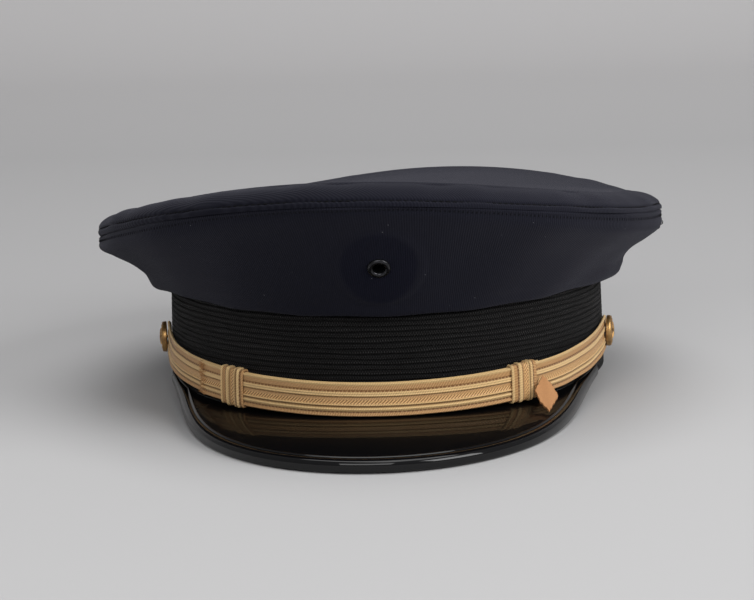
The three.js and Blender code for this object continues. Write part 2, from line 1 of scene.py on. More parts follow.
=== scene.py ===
"""A military peaked cap, dressed over its CAD frame and lit as a plain studio still.

Shapes are worked out in millimetres in the cap's own frame, where the band stands level, +Z is up
and -Y is the front. placed() leans them back on the visor and turns them into shared-frame metres.
"""

import json
import math

import bmesh
import bpy
import numpy as np
from mathutils import Matrix, Vector


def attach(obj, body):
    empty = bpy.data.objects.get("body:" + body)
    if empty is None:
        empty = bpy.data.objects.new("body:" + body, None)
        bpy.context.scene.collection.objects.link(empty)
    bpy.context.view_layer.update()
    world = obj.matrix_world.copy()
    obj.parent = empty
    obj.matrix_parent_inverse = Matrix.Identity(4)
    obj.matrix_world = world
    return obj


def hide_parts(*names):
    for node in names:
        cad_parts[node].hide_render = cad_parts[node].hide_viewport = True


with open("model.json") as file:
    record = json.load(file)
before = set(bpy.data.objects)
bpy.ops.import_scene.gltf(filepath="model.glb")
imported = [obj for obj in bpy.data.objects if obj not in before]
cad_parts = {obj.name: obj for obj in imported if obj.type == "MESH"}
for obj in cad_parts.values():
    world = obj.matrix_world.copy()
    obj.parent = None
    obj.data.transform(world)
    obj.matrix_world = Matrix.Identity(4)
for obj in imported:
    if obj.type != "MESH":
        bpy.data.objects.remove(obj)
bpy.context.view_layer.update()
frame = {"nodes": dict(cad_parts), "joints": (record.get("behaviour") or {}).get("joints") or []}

# ------------------------------------------------------------ driving dimensions, as in the part
MM = 0.001
TILT = math.radians(2.6)
GAP = 0.3
HALF_WIDTH, HALF_LENGTH, EGG = 88.0, 104.5, 0.05
MEAN_RADIUS = (HALF_WIDTH + HALF_LENGTH) / 2
BAND_HEIGHT, BAND_TAPER, BRAID = 38.5, 0.9, 1.8
BACK_SEAM = 179.7
CLOTH = 1.2
SWEATBAND_OUT, SWEATBAND_LEAN, SWEATBAND_HEIGHT = -5.6, 5.0, 44.0

FRONT_OVERHANG, SIDE_OVERHANG, BACK_OVERHANG = 32.0, 25.6, 20.0
MEAN_RISE, FRONT_LIFT, SADDLE, LEAN, TWIST, SHIFT = 27.4, 9.2, 6.0, 4.0, -2.8, -1.4
BACK_DROP, SLUMP = 0.8, 4.0
SHOULDER_WIDTH, SHOULDER_RISE = 13.5, 7.2
LINING_EDGE, LINING_LIFT = -5.0, -7.0

VISOR_END, VISOR_REACH, VISOR_END_REACH, VISOR_FULLNESS, VISOR_ROOT = 74.0, 51.5, 1.6, 2.1, 0.7
VISOR_FALL, VISOR_FALL_LENGTH, VISOR_LIFT, VISOR_LIFT_POWER = 8.8, 22.0, 5.0, 5
VISOR_SKIN, VISOR_SEAT, VISOR_STACK, VISOR_LINING = 0.6, 0.25, 2.6, 0.5
TAB_END, TAB_OUT, TAB_IN, TAB_TOP, SHELF_OUT = 46, -4.3, -5.2, 8.0, 0.6

STRAP_END, OVER_END, UNDER_END = 90.1, -50.0, 44.0
STRAP_WIDTH, PLY, STRAP_FRONT, STAND_OFF, BUTTON_STAND_OFF = 12.7, 1.25, 6.0, 1.9, 0.4
KEEPER_ANGLE, KEEPER_HALF, KEEPER_WALL, KEEPER_CLEARANCE = 38.4, 6.2, 0.95, 0.4
TIP_ANGLE, TIP_OUT, TIP_HEIGHT, TIP_SLOPE, TIP_TURN, TIP_THICKNESS = 43.6, 5.7, 8.4, 39.4, 9.0, 1.3
TIP_OUTLINE = [(0, 0), (-4.1, -7.1), (-3, -13), (0, -18.2), (4.6, -10.4), (2.9, -4.6)]
BUTTON_ANGLE, BUTTON_RADIUS, BUTTON_DOME = 86.0, 6.2, 2.8
RIGHT_BUTTON_HEIGHT, LEFT_BUTTON_HEIGHT = 15.4, 14.4
EYELET_ANGLE, EYELET_HEIGHT, EYELET_DEPTH = 1.9, 56.5, 5.4
EYELET_BARREL, EYELET_BORE, EYELET_FLANGE = 2.6, 2.2, 4.3

# ------------------------------------------------------------ detail only the visual model has
RIBS = 19
BRAID_SEAM = 179.97  # the braid's ends meet at the back
RIB_PITCH = BAND_HEIGHT / RIBS
STITCH_PITCH = 2.6
FRONT_END, QUARTER_START, QUARTER_END = 89.85, 90.15, 179.85  # the crown's wall, in degrees
SEAM_STITCH_ANGLE = 88.6
TOPSTITCH_INSET = 2.3  # of the row of stitches, measured up the cloth from the rim seam
SEAM_GAP = 0.05
SHOULDER_FULLNESS = 1.3  # how far the shoulder swells at the sides beyond an ellipse
SHOULDER_SWELL = 1.1  # more of it on the right, less on the left
PATCH_PRINT_RADIUS = 17.0
FRONT_SAG = 1.5  # how far the front's lower fold hangs over the band
BINDING_WIDTH = 4.4
LACE_GROUND, KEEPER_GROUND = 0.25, 0.55  # how far the woven ground lies under the lace's cords
STRAP_ROUNDING = 4.2  # degrees past a button over which the strap's end rounds off
FRAYED_ROWS = [(0.0, 54, 0.2), (0.8, 20, 0.14), (1.9, 12, 0.12)]  # from the cut end, threads, radius
BUTTON_GAP = 0.45  # between the strap's face and a button's seat
STAR_RADIUS = 3.3

rng = np.random.default_rng(11)


# ------------------------------------------------------------ the cap's shape
def lerp(a, b, share):
    return a + (b - a) * share


def smoothstep(value, low, high):
    share = np.clip((value - low) / (high - low), 0, 1)
    return share * share * (3 - 2 * share)


def bump(value, centre, width):
    """A smooth bump 1 high."""
    return np.exp(-(((value - centre) / width) ** 2))


def together(*parts):
    """Numbers and grids spread over one grid, whose last axis tells them apart."""
    return np.stack(np.broadcast_arrays(*parts), axis=-1)


def full_turn(count):
    return np.linspace(0, 2 * math.pi, count, endpoint=False)


def all_round(count):
    """Degrees all round the cap, starting and ending at the back."""
    return np.linspace(-180, 180, count, endpoint=False)


def beside(angle, out, z):
    """Points beside the band: degrees round from the front, distance outwards, height."""
    a = np.radians(angle)
    x = (HALF_WIDTH + out) * np.sin(a) * (1 - EGG * np.cos(a))
    return together(x, -(HALF_LENGTH + out) * np.cos(a), z)


def outwards(angle):
    """The level direction straight out of the band at one angle."""
    sin, cos = math.sin(math.radians(angle)), math.cos(math.radians(angle))
    across = HALF_WIDTH * (cos - EGG * (cos**2 - sin**2))
    return Vector((HALF_LENGTH * sin, -across, 0)).normalized()


def band_in(z):
    """How far the band's wall has leaned in at a height."""
    return -BAND_TAPER * np.clip(z, 0, BAND_HEIGHT) / BAND_HEIGHT


def sunk(angle):
    """How far the back of the crown has sunk: most at the back left."""
    a = np.radians(angle)
    behind = smoothstep(-np.cos(a), -0.2, 0.35)
    return behind * (BACK_DROP + SLUMP * np.maximum(np.sin(a), 0) ** 1.5)


def crown_rise(angle, share):
    """Height above the crown's middle, at a share of the way out to its rim."""
    a = np.radians(angle)
    level = share * (FRONT_LIFT * np.cos(a) + LEAN * np.sin(a))
    bent = share**2 * (SADDLE * np.cos(2 * a) + TWIST * np.sin(2 * a))
    return level + bent - share**4 * sunk(angle)


def rim_height(angle):
    return BAND_HEIGHT + MEAN_RISE + crown_rise(angle, 1.0)


def rim_out(angle):
    sin, cos = np.sin(np.radians(angle)), np.cos(np.radians(angle))
    end = np.where(cos > 0, FRONT_OVERHANG, BACK_OVERHANG)
    return lerp(SIDE_OVERHANG, end, cos**2) + SHIFT * sin


def visor_reach(angle):
    share = np.cos(np.radians(np.minimum(np.abs(angle), VISOR_END) * 90 / VISOR_END))
    share = np.maximum(share, 0) ** VISOR_FULLNESS
    return VISOR_END_REACH + (VISOR_REACH - VISOR_END_REACH) * share


def visor_top(angle, out):
    """Height of the visor's top, which curves down from its root to its edge."""
    reach = visor_reach(angle)
    edge = -GAP - VISOR_FALL * (1 - np.exp(-reach / VISOR_FALL_LENGTH))
    lift = VISOR_LIFT * (np.abs(angle) / VISOR_END) ** VISOR_LIFT_POWER
    return lift + lerp(-VISOR_ROOT, edge, (np.maximum(out, 0) / reach) ** 2)


def strap_height(angle):
    end = np.where(np.asarray(angle) < 0, RIGHT_BUTTON_HEIGHT, LEFT_BUTTON_HEIGHT)
    return lerp(STRAP_FRONT, end, np.minimum(np.abs(angle) / BUTTON_ANGLE, 1) ** 2)


def stand_off(angle, ply):
    away = STAND_OFF + ply * (PLY + GAP)
    return lerp(BUTTON_STAND_OFF, away, smoothstep(BUTTON_ANGLE - 3 - np.abs(angle), 0, 24))


def leaned_back(points):
    """The cap's frame turned as it lies, resting on its visor."""
    x, y, z = np.moveaxis(np.asarray(points, dtype=float), -1, 0)
    cos, sin = math.cos(TILT), math.sin(TILT)
    return together(x, y * cos + z * sin, z * cos - y * sin)


def cap_offset():
    """Where the cap's own origin lies in the shared frame, from the right button's hinge."""
    joint = next(j for j in frame["joints"] if j["name"] == "right_button_spin")
    here = beside(-BUTTON_ANGLE, band_in(RIGHT_BUTTON_HEIGHT), RIGHT_BUTTON_HEIGHT)
    return np.array(joint["pos_m"]) / MM - leaned_back(here)


CAP_OFFSET = cap_offset()


def placed(points):
    """Cap-frame millimetres as shared-frame metres."""
    return (leaned_back(points) + CAP_OFFSET) * MM


# ------------------------------------------------------------ mesh tools
def curve_through(points, count):
    """count points evenly along the parameter of a smooth curve through the given ones."""
    p = np.asarray(points, dtype=float)
    p = np.concatenate([2 * p[:1] - p[1:2], p, 2 * p[-1:] - p[-2:-1]])
    t = np.linspace(0, len(p) - 3 - 1e-9, count)
    i = t.astype(int)
    t = (t - i)[:, None]
    a, b, c, d = p[i], p[i + 1], p[i + 2], p[i + 3]
    return 0.5 * (2 * b + (c - a) * t + (2 * a - 5 * b + 4 * c - d) * t**2 + (3 * b - a - 3 * c + d) * t**3)


def lengths_along(points, axis):
    """Distance travelled along one axis of a grid of points, from 0."""
    steps = np.linalg.norm(np.diff(points, axis=axis), axis=-1)
    start = np.zeros_like(np.take(steps, [0], axis=axis))
    return np.concatenate([start, np.cumsum(steps, axis=axis)], axis=axis)


def square_to(line):
    """Unit normals on the left of lines of [out, z] points, shape (..., points, 2)."""
    along = np.gradient(line, axis=-2)
    along /= np.maximum(np.linalg.norm(along, axis=-1, keepdims=True), 1e-9)
    return together(-along[..., 1], along[..., 0])


def read_at(places, travelled, values):
    """The rows of values at some places along a travelled distance."""
    return together(*[np.interp(places, travelled, column) for column in values.T])


def slab(angles, face, back):
    """Rings round a thin piece at each angle: along its face and home along its back, each (out, z)."""
    return np.concatenate([beside(angles, *face), beside(angles, *back)[:, ::-1]], axis=1)


def add_object(name, data):
    made = bpy.data.objects.new(name, data)
    bpy.context.scene.collection.objects.link(made)
    return made


class Mesh:
    """Vertices, faces and millimetre UVs gathered into one object."""

    def __init__(self):
        self.points, self.faces, self.uvs = [], [], []

    def loft(self, rings, uv=None, path_closed=False):
        """A closed solid through rings[ring, point, xyz]. uv has one more point, and one more ring
        where the path is closed."""
        rings = np.asarray(rings, dtype=float)
        m, n = rings.shape[:2]
        first = len(self.points)
        if uv is None:
            uv = self.unrolled(rings, path_closed)
        spans = m if path_closed else m - 1
        i, j = np.meshgrid(np.arange(spans), np.arange(n), indexing="ij")
        corners = [(i, j), (i + 1, j), (i + 1, j + 1), (i, j + 1)]
        quads = np.stack([(a % m) * n + b % n for a, b in corners], axis=-1).reshape(-1, 4)
        face_uvs = np.stack([uv[a, b] for a, b in corners], axis=-2).reshape(-1, 4, 2)
        self.faces += (quads + first).tolist()
        self.uvs += face_uvs.reshape(-1, 2).tolist()
        if not path_closed:
            for ring, order in ((0, np.arange(n)), (m - 1, np.arange(n)[::-1])):
                self.faces.append((first + ring * n + order).tolist())
                self.uvs += uv[ring, order].tolist()
        self.points += rings.reshape(-1, 3).tolist()
        return self

    @staticmethod
    def unrolled(rings, path_closed):
        """UVs that unroll the rings: u along the path, v round each ring."""
        round_ring = np.concatenate([rings, rings[:, :1]], axis=1)
        if path_closed:
            round_ring = np.concatenate([round_ring, round_ring[:1]], axis=0)
        u = lengths_along(round_ring, 0).mean(axis=1, keepdims=True)
        return together(u, lengths_along(round_ring, 1))

    def tube(self, path, radius, sides=6, flat=1.0, up=(0.0, 0.0, 1.0)):
        """A tube along a path of points, tapering where radius is an array."""
        path = np.asarray(path, dtype=float)
        along = np.gradient(path, axis=0)
        along /= np.linalg.norm(along, axis=1, keepdims=True)
        side = np.cross(along, np.broadcast_to(np.asarray(up, dtype=float), along.shape))
        side /= np.maximum(np.linalg.norm(side, axis=1, keepdims=True), 1e-9)
        top = np.cross(side, along) * flat
        turn = np.arange(sides) * 2 * math.pi / sides
        spread = np.cos(turn)[None, :, None] * side[:, None] + np.sin(turn)[None, :, None] * top[:, None]
        radius = np.broadcast_to(radius, len(path))[:, None, None]
        self.loft(path[:, None] + radius * spread)

    def build(self, name, surface, body="cap", replaces=(), slot=None, sharp=40.0):
        """The gathered mesh as an object on a body, with its faces turned outwards."""
        mesh = bpy.data.meshes.new(name)
        mesh.from_pydata(placed(np.array(self.points)).tolist(), [], self.faces)
        layer = mesh.uv_layers.new(name="Cloth")
        layer.data.foreach_set("uv", np.array(self.uvs, dtype=np.float32).ravel())
        mesh.materials.append(surface)
        work = bmesh.new()
        work.from_mesh(mesh)
        bmesh.ops.recalc_face_normals(work, faces=work.faces)
        work.to_mesh(mesh)
        work.free()
        mesh.polygons.foreach_set("use_smooth", [True] * len(mesh.polygons))
        mesh.set_sharp_from_angle(angle=math.radians(sharp))
        piece = add_object(name, mesh)
        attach(piece, body)
        if replaces:
            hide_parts(*replaces)


def stitches(mesh, path, normals, pitch, length, radius, lift=0.12):
    """Separate arched threads laid along a path of points, each dipping into the cloth at its ends."""
    travelled = lengths_along(path, 0)
    starts = np.arange(pitch / 2, travelled[-1] - length, pitch)
    profile = np.sin(np.linspace(0, math.pi, 5))
    for start in starts:
        at = start + np.linspace(0, length, 5)
        normal = read_at(start, travelled, normals)
        points = read_at(at, travelled, path) + normal * (lift * (profile - 0.45))[:, None]
        mesh.tube(points, radius * (0.45 + 0.55 * profile), sides=5, up=normal)


# ------------------------------------------------------------ materials
class Surface:
    """A Principled material, with short calls for the nodes that make its pattern."""

    def __init__(self, name, colour, roughness, **sockets):
        self.material = bpy.data.materials.new(name)
        self.material.use_nodes = True
        self.tree = self.material.node_tree
        self.shader = self.tree.nodes["Principled BSDF"]
        self.colour(colour)
        self.roughness(roughness)
        for key, value in sockets.items():
            self.set(self.shader.inputs[key.replace("_", " ")], value)

    def set(self, socket, value):
        if isinstance(value, bpy.types.NodeSocket):
            self.tree.links.new(value, socket)
        elif isinstance(value, (tuple, list)) and socket.type == "RGBA":
            socket.default_value = (*value[:3], 1.0)
        else:
            socket.default_value = value

    def node(self, kind, *inputs, named=None, **settings):
        """A new node: its settings, its first inputs in order and other inputs by name or number."""
        made = self.tree.nodes.new(kind)
        for key, value in settings.items():
            setattr(made, key, value)
        for key, value in [*enumerate(inputs), *(named or {}).items()]:
            self.set(made.inputs[key], value)
        return made

    def math(self, operation, *values):
        return self.node("ShaderNodeMath", *values, operation=operation).outputs[0]

    def uv(self):
        """The cloth's own millimetres: along and across."""
        cloth = self.node("ShaderNodeUVMap", uv_map="Cloth").outputs[0]
        split = self.node("ShaderNodeSeparateXYZ", cloth)
        return split.outputs[0], split.outputs[1]

    def place(self, stretch=(1.0, 1.0, 1.0)):
        """Position on the piece in millimetres."""
        at = self.node("ShaderNodeTexCoord").outputs["Object"]
        scale = [s / MM for s in stretch]
        return self.node("ShaderNodeVectorMath", at, scale, operation="MULTIPLY").outputs[0]

    def noise(self, size, detail=3.0, at=None):
        """Smooth noise from 0 to 1 whose features are about size millimetres."""
        named = {"Scale": 1.0 / size, "Detail": detail}
        return self.node("ShaderNodeTexNoise", at or self.place(), named=named).outputs[0]

    def cells(self, size, feature="F1"):
        """Distance within scattered cells of about size millimetres."""
        named = {"Scale": 1.0 / size}
        made = self.node("ShaderNodeTexVoronoi", self.place(), named=named, feature=feature)
        return made.outputs["Distance"]

    def specks(self, spacing, radius):
        """1 inside small scattered dots."""
        return self.math("LESS_THAN", self.cells(spacing), radius / spacing)

    def wave(self, distance, pitch, shift=0.0):
        """A sine from 0 to 1 along a distance in millimetres."""
        turned = self.math("MULTIPLY_ADD", distance, 2 * math.pi / pitch, shift)
        return self.math("MULTIPLY_ADD", self.math("SINE", turned), 0.5, 0.5)

    def between(self, share, low, high):
        """A number from low to high as share goes from 0 to 1."""
        named = {"To Min": low, "To Max": high}
        return self.node("ShaderNodeMapRange", share, named=named).outputs[0]

    def mix(self, share, first, second, blend="MIX"):
        """Two colours mixed or blended; a colour mix node keeps them in inputs 6 and 7."""
        named = {6: first, 7: second}
        made = self.node("ShaderNodeMix", share, named=named, data_type="RGBA", blend_type=blend)
        return made.outputs[2]

    def ramp(self, value, stops):
        made = self.node("ShaderNodeValToRGB", value)
        elements = made.color_ramp.elements
        while len(elements) < len(stops):
            elements.new(1.0)
        for element, (position, colour) in zip(elements, stops):
            element.position = position
            element.color = (*colour, 1.0)
        return made.outputs[0]

    def colour(self, value):
        self.set(self.shader.inputs["Base Color"], value)

    def roughness(self, value):
        self.set(self.shader.inputs["Roughness"], value)

    def bump(self, height, depth, strength=1.0):
        """Relief of the given depth in millimetres, over whatever relief is already there."""
        named = {"Strength": strength, "Distance": depth * MM, "Height": height}
        made = self.node("ShaderNodeBump", named=named)
        normal = self.shader.inputs["Normal"]
        if normal.is_linked:
            self.set(made.inputs["Normal"], normal.links[0].from_socket)
        self.set(normal, made.outputs[0])

    def finish(self, colour, roughness, *reliefs):
        """The material, once it has its colour, roughness and reliefs (height, depth, strength)."""
        self.colour(colour)
        self.roughness(roughness)
        for relief in reliefs:
            self.bump(*relief)
        return self.material


NAVY, NAVY_LIGHT, LINT = (0.0040, 0.0042, 0.0084), (0.0105, 0.0108, 0.0185), (0.15, 0.15, 0.165)
UNFADED, WHITE = (0.42, 0.46, 0.72), (1.0, 1.0, 1.0)


def twill(name, lean, print_at=None):
    """Navy wool twill with leaning ridges, and the unfaded round print of a badge if one is asked for."""
    sheen = {"Sheen_Weight": 0.11, "Sheen_Roughness": 0.45, "Sheen_Tint": (0.60, 0.60, 0.72)}
    s = Surface(name, NAVY, 0.85, Specular_IOR_Level=0.12, **sheen)
    u, v = s.uv()
    across = s.math("MULTIPLY_ADD", u, math.cos(lean), s.math("MULTIPLY", v, math.sin(lean)))
    wobble = s.math("MULTIPLY_ADD", s.noise(6.0), 0.5, across)
    ridge = s.wave(wobble, 0.95)
    yarn = s.wave(s.math("MULTIPLY_ADD", across, 0.6, v), 0.55)
    weave = s.math("MULTIPLY", ridge, s.between(yarn, 0.7, 1.0))
    faded = s.math("MULTIPLY_ADD", s.noise(45.0), 0.55, s.math("MULTIPLY", weave, 0.45))
    cloth = s.mix(faded, NAVY, NAVY_LIGHT)
    if print_at:
        aside = s.math("SUBTRACT", u, print_at[0])
        above = s.math("SUBTRACT", v, print_at[1])
        from_middle = s.math("SQRT", s.math("MULTIPLY_ADD", aside, aside, s.math("MULTIPLY", above, above)))
        share = s.math("DIVIDE", from_middle, 2 * PATCH_PRINT_RADIUS)
        tint = s.ramp(share, [(0.0, UNFADED), (0.46, UNFADED), (0.52, WHITE)])
        cloth = s.mix(1.0, tint, cloth, "MULTIPLY")
    linty = s.mix(s.specks(6.0, 0.17), cloth, LINT)
    return s.finish(linty, s.between(weave, 0.95, 0.75), (weave, 0.10, 0.9), (s.noise(1.1, 4.0), 0.12, 0.5))


def ribbed_braid():
    """Black mohair braid: each rib is a row of plaited yarns, with a painted highlight along each rib's
    crest and painted shade in the grooves between ribs.
    """
    sheen = {"Sheen_Weight": 0.05, "Sheen_Roughness": 0.4, "Sheen_Tint": (0.75, 0.72, 0.72)}
    s = Surface("black_mohair_braid", (0.0035, 0.0033, 0.0034), 0.7, Specular_IOR_Level=0.2, **sheen)
    u, v = s.uv()
    along = s.math("MULTIPLY_ADD", s.noise(9.0), 0.8, u)
    one_way = s.wave(s.math("MULTIPLY_ADD", v, 0.7, along), 1.15)
    other_way = s.wave(s.math("MULTIPLY_ADD", v, -0.7, along), 1.15, 1.6)
    plait = s.math("MULTIPLY", one_way, other_way)
    # Painted shade: the colour is darker in the grooves between ribs and lighter, as a painted highlight,
    # along each rib's crest.
    painted_crest_light = s.wave(v, RIB_PITCH, -math.pi / 2)
    painted_yarn_highlight = s.math("MULTIPLY", plait, s.math("MULTIPLY", painted_crest_light, s.noise(14.0)))
    braid_with_painted_highlight = s.mix(painted_yarn_highlight, (0.0008, 0.0008, 0.0009), (0.060, 0.056, 0.056))
    linty = s.mix(s.specks(9.0, 0.16), braid_with_painted_highlight, (0.09, 0.09, 0.095))
    return s.finish(linty, s.between(plait, 0.85, 0.55), (plait, 0.45, 1.0), (s.noise(0.5, 3.0), 0.08, 0.6))


# The pale gold is the lace's own colour and also its painted highlight on raised cords and yarn crests; the
# brown is painted shade in its grooves and between its yarns.
GOLD, PALE_GOLD_HIGHLIGHT = (0.68, 0.36, 0.130), (1.0, 0.70, 0.33)
TAN, BROWN_PAINTED_SHADE, STITCH_SHADE = (0.46, 0.21, 0.068), (0.10, 0.036, 0.010), (0.20, 0.08, 0.022)
# The lace's shades at shares of the way down from its top edge: L is pale gold with a painted highlight
# where a raised cord stands, T tan, B brown used as painted shade in the grooves between cords, G gold.
LACE_STRIPES = [
    ("L", 0), ("L", 0.07), ("T", 0.1), ("T", 0.2), ("B", 0.25), ("L", 0.29), ("L", 0.38), ("B", 0.42),
    ("T", 0.46), ("G", 0.51), ("G", 0.62), ("L", 0.65), ("B", 0.69), ("B", 0.72), ("L", 0.75), ("L", 0.82),
    ("B", 0.86), ("T", 0.91), ("T", 0.95),
]


def lace(name):
    """Gold lace: cords, a herringbone stripe and stitched guards, striped across its width. The stripes
    paint highlights on the raised cords and shade in the grooves between them, and the yarns are painted
    lighter on their crests and darker between.
    """
    s = Surface(name, GOLD, 0.45, Sheen_Weight=0.05, Specular_IOR_Level=0.45)
    u, v = s.uv()
    share = s.math("DIVIDE", v, STRAP_WIDTH)
    shades = {"L": PALE_GOLD_HIGHLIGHT, "T": TAN, "B": BROWN_PAINTED_SHADE, "G": GOLD}
    # The stripes paint highlights on the raised cords and shade in the grooves between them, over the lace's
    # real tan and gold.
    stripes = s.ramp(share, [(place, shades[shade]) for shade, place in LACE_STRIPES])
    wound = s.wave(s.math("MULTIPLY_ADD", v, 0.35, u), 0.62)
    herring = s.math("GREATER_THAN", s.wave(s.math("MULTIPLY_ADD", v, -1.1, u), 1.3), 0.42)
    in_stripe = s.math("COMPARE", share, 0.565, 0.055)
    yarn = s.mix(in_stripe, wound, herring)
    near_top = s.math("COMPARE", share, 0.245, 0.022)
    near_foot = s.math("COMPARE", share, 0.865, 0.022)
    dashes = s.math("GREATER_THAN", s.wave(u, 1.55), 0.45)
    dashes = s.math("MULTIPLY", dashes, s.math("ADD", near_top, near_foot))
    # Painted highlight on the yarns' crests and painted shade between them.
    painted_yarn_highlight = s.mix(s.math("MULTIPLY", yarn, 0.5), stripes, PALE_GOLD_HIGHLIGHT)
    painted_yarn_shade = s.mix(s.math("MULTIPLY", s.math("SUBTRACT", 1.0, yarn), 0.35), painted_yarn_highlight, BROWN_PAINTED_SHADE)
    cut = s.math("MULTIPLY", in_stripe, s.math("MULTIPLY", s.math("SUBTRACT", 1.0, herring), 0.7))
    stitched = s.mix(s.math("MAXIMUM", dashes, cut), painted_yarn_shade, STITCH_SHADE)
    worn = s.math("MULTIPLY", s.noise(11.0, 4.0), 0.22)
    relief = s.math("SUBTRACT", yarn, dashes)
    return s.finish(s.mix(worn, stitched, TAN), s.between(yarn, 0.6, 0.38), (relief, 0.16, 0.9))


def patent(name, waviness, dust, gloss):
    """Black patent leather: a hard gloss over black, with dust and fine scuffs."""
    black = (0.0028, 0.0028, 0.0032)
    coat = {"Coat_Weight": gloss, "Coat_Roughness": 0.02, "Coat_IOR": 1.52}
    s = Surface(name, black, 0.35, Specular_IOR_Level=0.02, **coat)
    dusty = s.mix(s.specks(5.0, dust), black, (0.12, 0.12, 0.12))
    return s.finish(dusty, s.between(s.noise(18.0, 4.0), 0.22, 0.42), (s.noise(26.0, 2.0), waviness, 1.0))


def leather(name, dark, light, grain=1.1, gloss=0.5, coat=0.0):
    """Grained leather, darker where it has been handled."""
    s = Surface(name, light, gloss, Coat_Weight=coat, Coat_Roughness=0.25)
    pebble = s.math("SMOOTH_MIN", s.cells(grain, "DISTANCE_TO_EDGE"), 0.3, 0.2)
    stain = s.noise(22.0, 5.0)
    grained = s.mix(s.math("MULTIPLY_ADD", pebble, 0.8, s.math("MULTIPLY", stain, 0.6)), dark, light)
    dull = s.between(stain, gloss - 0.12, gloss + 0.15)
    return s.finish(grained, dull, (pebble, 0.25, 0.6), (s.noise(0.4, 3.0), 0.06, 0.5))


def metal(name, bright, tarnish, roughness):
    """A worn metal, bright where it is rubbed and dull in between."""
    s = Surface(name, bright, roughness, Metallic=0.9)
    grime = s.noise(2.4, 5.0)
    worn = s.mix(s.between(grime, -0.6, 1.5), bright, tarnish)
    dull = s.between(grime, roughness - 0.08, roughness + 0.22)
    return s.finish(worn, dull, (s.noise(0.35, 3.0), 0.05, 0.4))


def cloth(name, dark, light, pitch, gloss=0.8, sheen=0.2):
    """Plain-woven cloth seen by its place on the piece: ribbon, satin or buckram."""
    s = Surface(name, light, gloss, Sheen_Weight=sheen, Specular_IOR_Level=0.15)
    x, y, z = s.node("ShaderNodeSeparateXYZ", s.place()).outputs
    warp = s.wave(s.math("ADD", x, s.math("MULTIPLY", y, 0.8)), pitch)
    weft = s.wave(s.math("MULTIPLY_ADD", y, 0.5, z), pitch)
    weave = s.math("MULTIPLY", s.between(warp, 0.4, 1.0), s.between(weft, 0.4, 1.0))
    share = s.math("MULTIPLY_ADD", s.noise(20.0, 3.0), 0.4, s.math("MULTIPLY", weave, 0.6))
    dull = s.between(weave, gloss + 0.08, gloss - 0.1)
    return s.finish(s.mix(share, dark, light), dull, (weave, 0.12, 0.7))


def satin():
    """Quiet lining satin with long floats that catch the light along one way."""
    s = Surface("lining_satin", (0.03, 0.034, 0.055), 0.32, Anisotropic=0.6, Sheen_Weight=0.1)
    u, v = s.uv()
    floats = s.wave(s.math("MULTIPLY_ADD", u, 0.35, v), 0.4)
    slub = s.noise(3.0, 4.0, s.place((1.0, 1.0, 0.1)))
    shot = s.mix(s.math("MULTIPLY", floats, slub), (0.022, 0.025, 0.042), (0.06, 0.066, 0.10))
    return s.finish(shot, s.between(slub, 0.26, 0.42), (floats, 0.06, 0.5), (slub, 0.15, 0.3))


def clear_shield():
    """Clear celluloid gone slightly yellow, with handling marks."""
    s = Surface("clear_shield", (0.86, 0.80, 0.62), 0.16, IOR=1.5, Coat_Weight=0.4, Transmission_Weight=0.55)
    marks = s.noise(5.0, 5.0)
    yellowed = s.mix(marks, (0.80, 0.72, 0.52), (0.92, 0.88, 0.74))
    return s.finish(yellowed, s.between(marks, 0.10, 0.34), (s.noise(9.0, 2.0), 0.10, 0.5))


def backdrop():
    """Seamless grey paper with painted shade and light: its colour is a little darker just behind the cap
    than in front and where it rises, standing in for how the light falls off.
    """
    near, behind, far = (0.52, 0.517, 0.519), (0.435, 0.432, 0.435), (0.60, 0.59, 0.592)
    s = Surface("studio_paper_painted_shade", near, 0.95, Specular_IOR_Level=0.1)
    split = s.node("ShaderNodeSeparateXYZ", s.node("ShaderNodeTexCoord").outputs["Object"])
    along = s.math("MULTIPLY_ADD", split.outputs[1], 0.5, 0.1)
    # The ramp paints shade on the paper just behind the cap and paints it lighter in front and where it
    # rises.
    paper = s.ramp(along, [(0.04, near), (0.20, behind), (0.45, behind), (0.80, far)])
    return s.finish(paper, 0.95, (s.noise(1.2, 3.0), 0.05, 0.3))


NAVY_TOP = twill("navy_twill_top", math.radians(52))
BLACK_BRAID = ribbed_braid()
GOLD_LACE = lace("gold_lace")
GOLD_LOOP = lace("gold_lace_loop")
VISOR_PATENT = patent("visor_patent", 0.12, 0.11, 0.30)
EDGE_PATENT = patent("edge_patent", 0.12, 0.06, 0.72)
UNDERSIDE_LEATHER = leather("visor_lining_leather", (0.006, 0.006, 0.006), (0.02, 0.019, 0.018), 1.3, 0.45)
BAND_LEATHER = leather("sweatband_leather", (0.16, 0.065, 0.02), (0.42, 0.21, 0.085), 1.0, 0.42, 0.15)
TIP_LEATHER = leather("tip_leather", (0.42, 0.18, 0.070), (0.70, 0.37, 0.155), 0.7, 0.75)
PATCH_LEATHER = leather("patch_leather", (0.008, 0.008, 0.008), (0.03, 0.028, 0.026), 1.2, 0.6)
GILT = metal("old_gilt", (0.62, 0.37, 0.14), (0.16, 0.08, 0.035), 0.34)
ENAMEL = metal("black_japan", (0.05, 0.05, 0.055), (0.012, 0.012, 0.013), 0.2)
STEEL = metal("spring_steel", (0.42, 0.42, 0.43), (0.15, 0.13, 0.11), 0.35)
BUCKRAM = cloth("stiff_buckram", (0.30, 0.26, 0.18), (0.62, 0.56, 0.42), 0.9, 0.85, 0.0)
RIBBON = cloth("black_ribbon", (0.004, 0.004, 0.004), (0.03, 0.03, 0.03), 0.7, 0.5, 0.1)
CORD = cloth("seam_cord", (0.004, 0.004, 0.006), (0.02, 0.02, 0.03), 0.8, 0.8, 0.1)
THREAD = cloth("navy_thread", (0.001, 0.001, 0.0015), (0.004, 0.004, 0.006), 0.3, 0.8, 0.0)
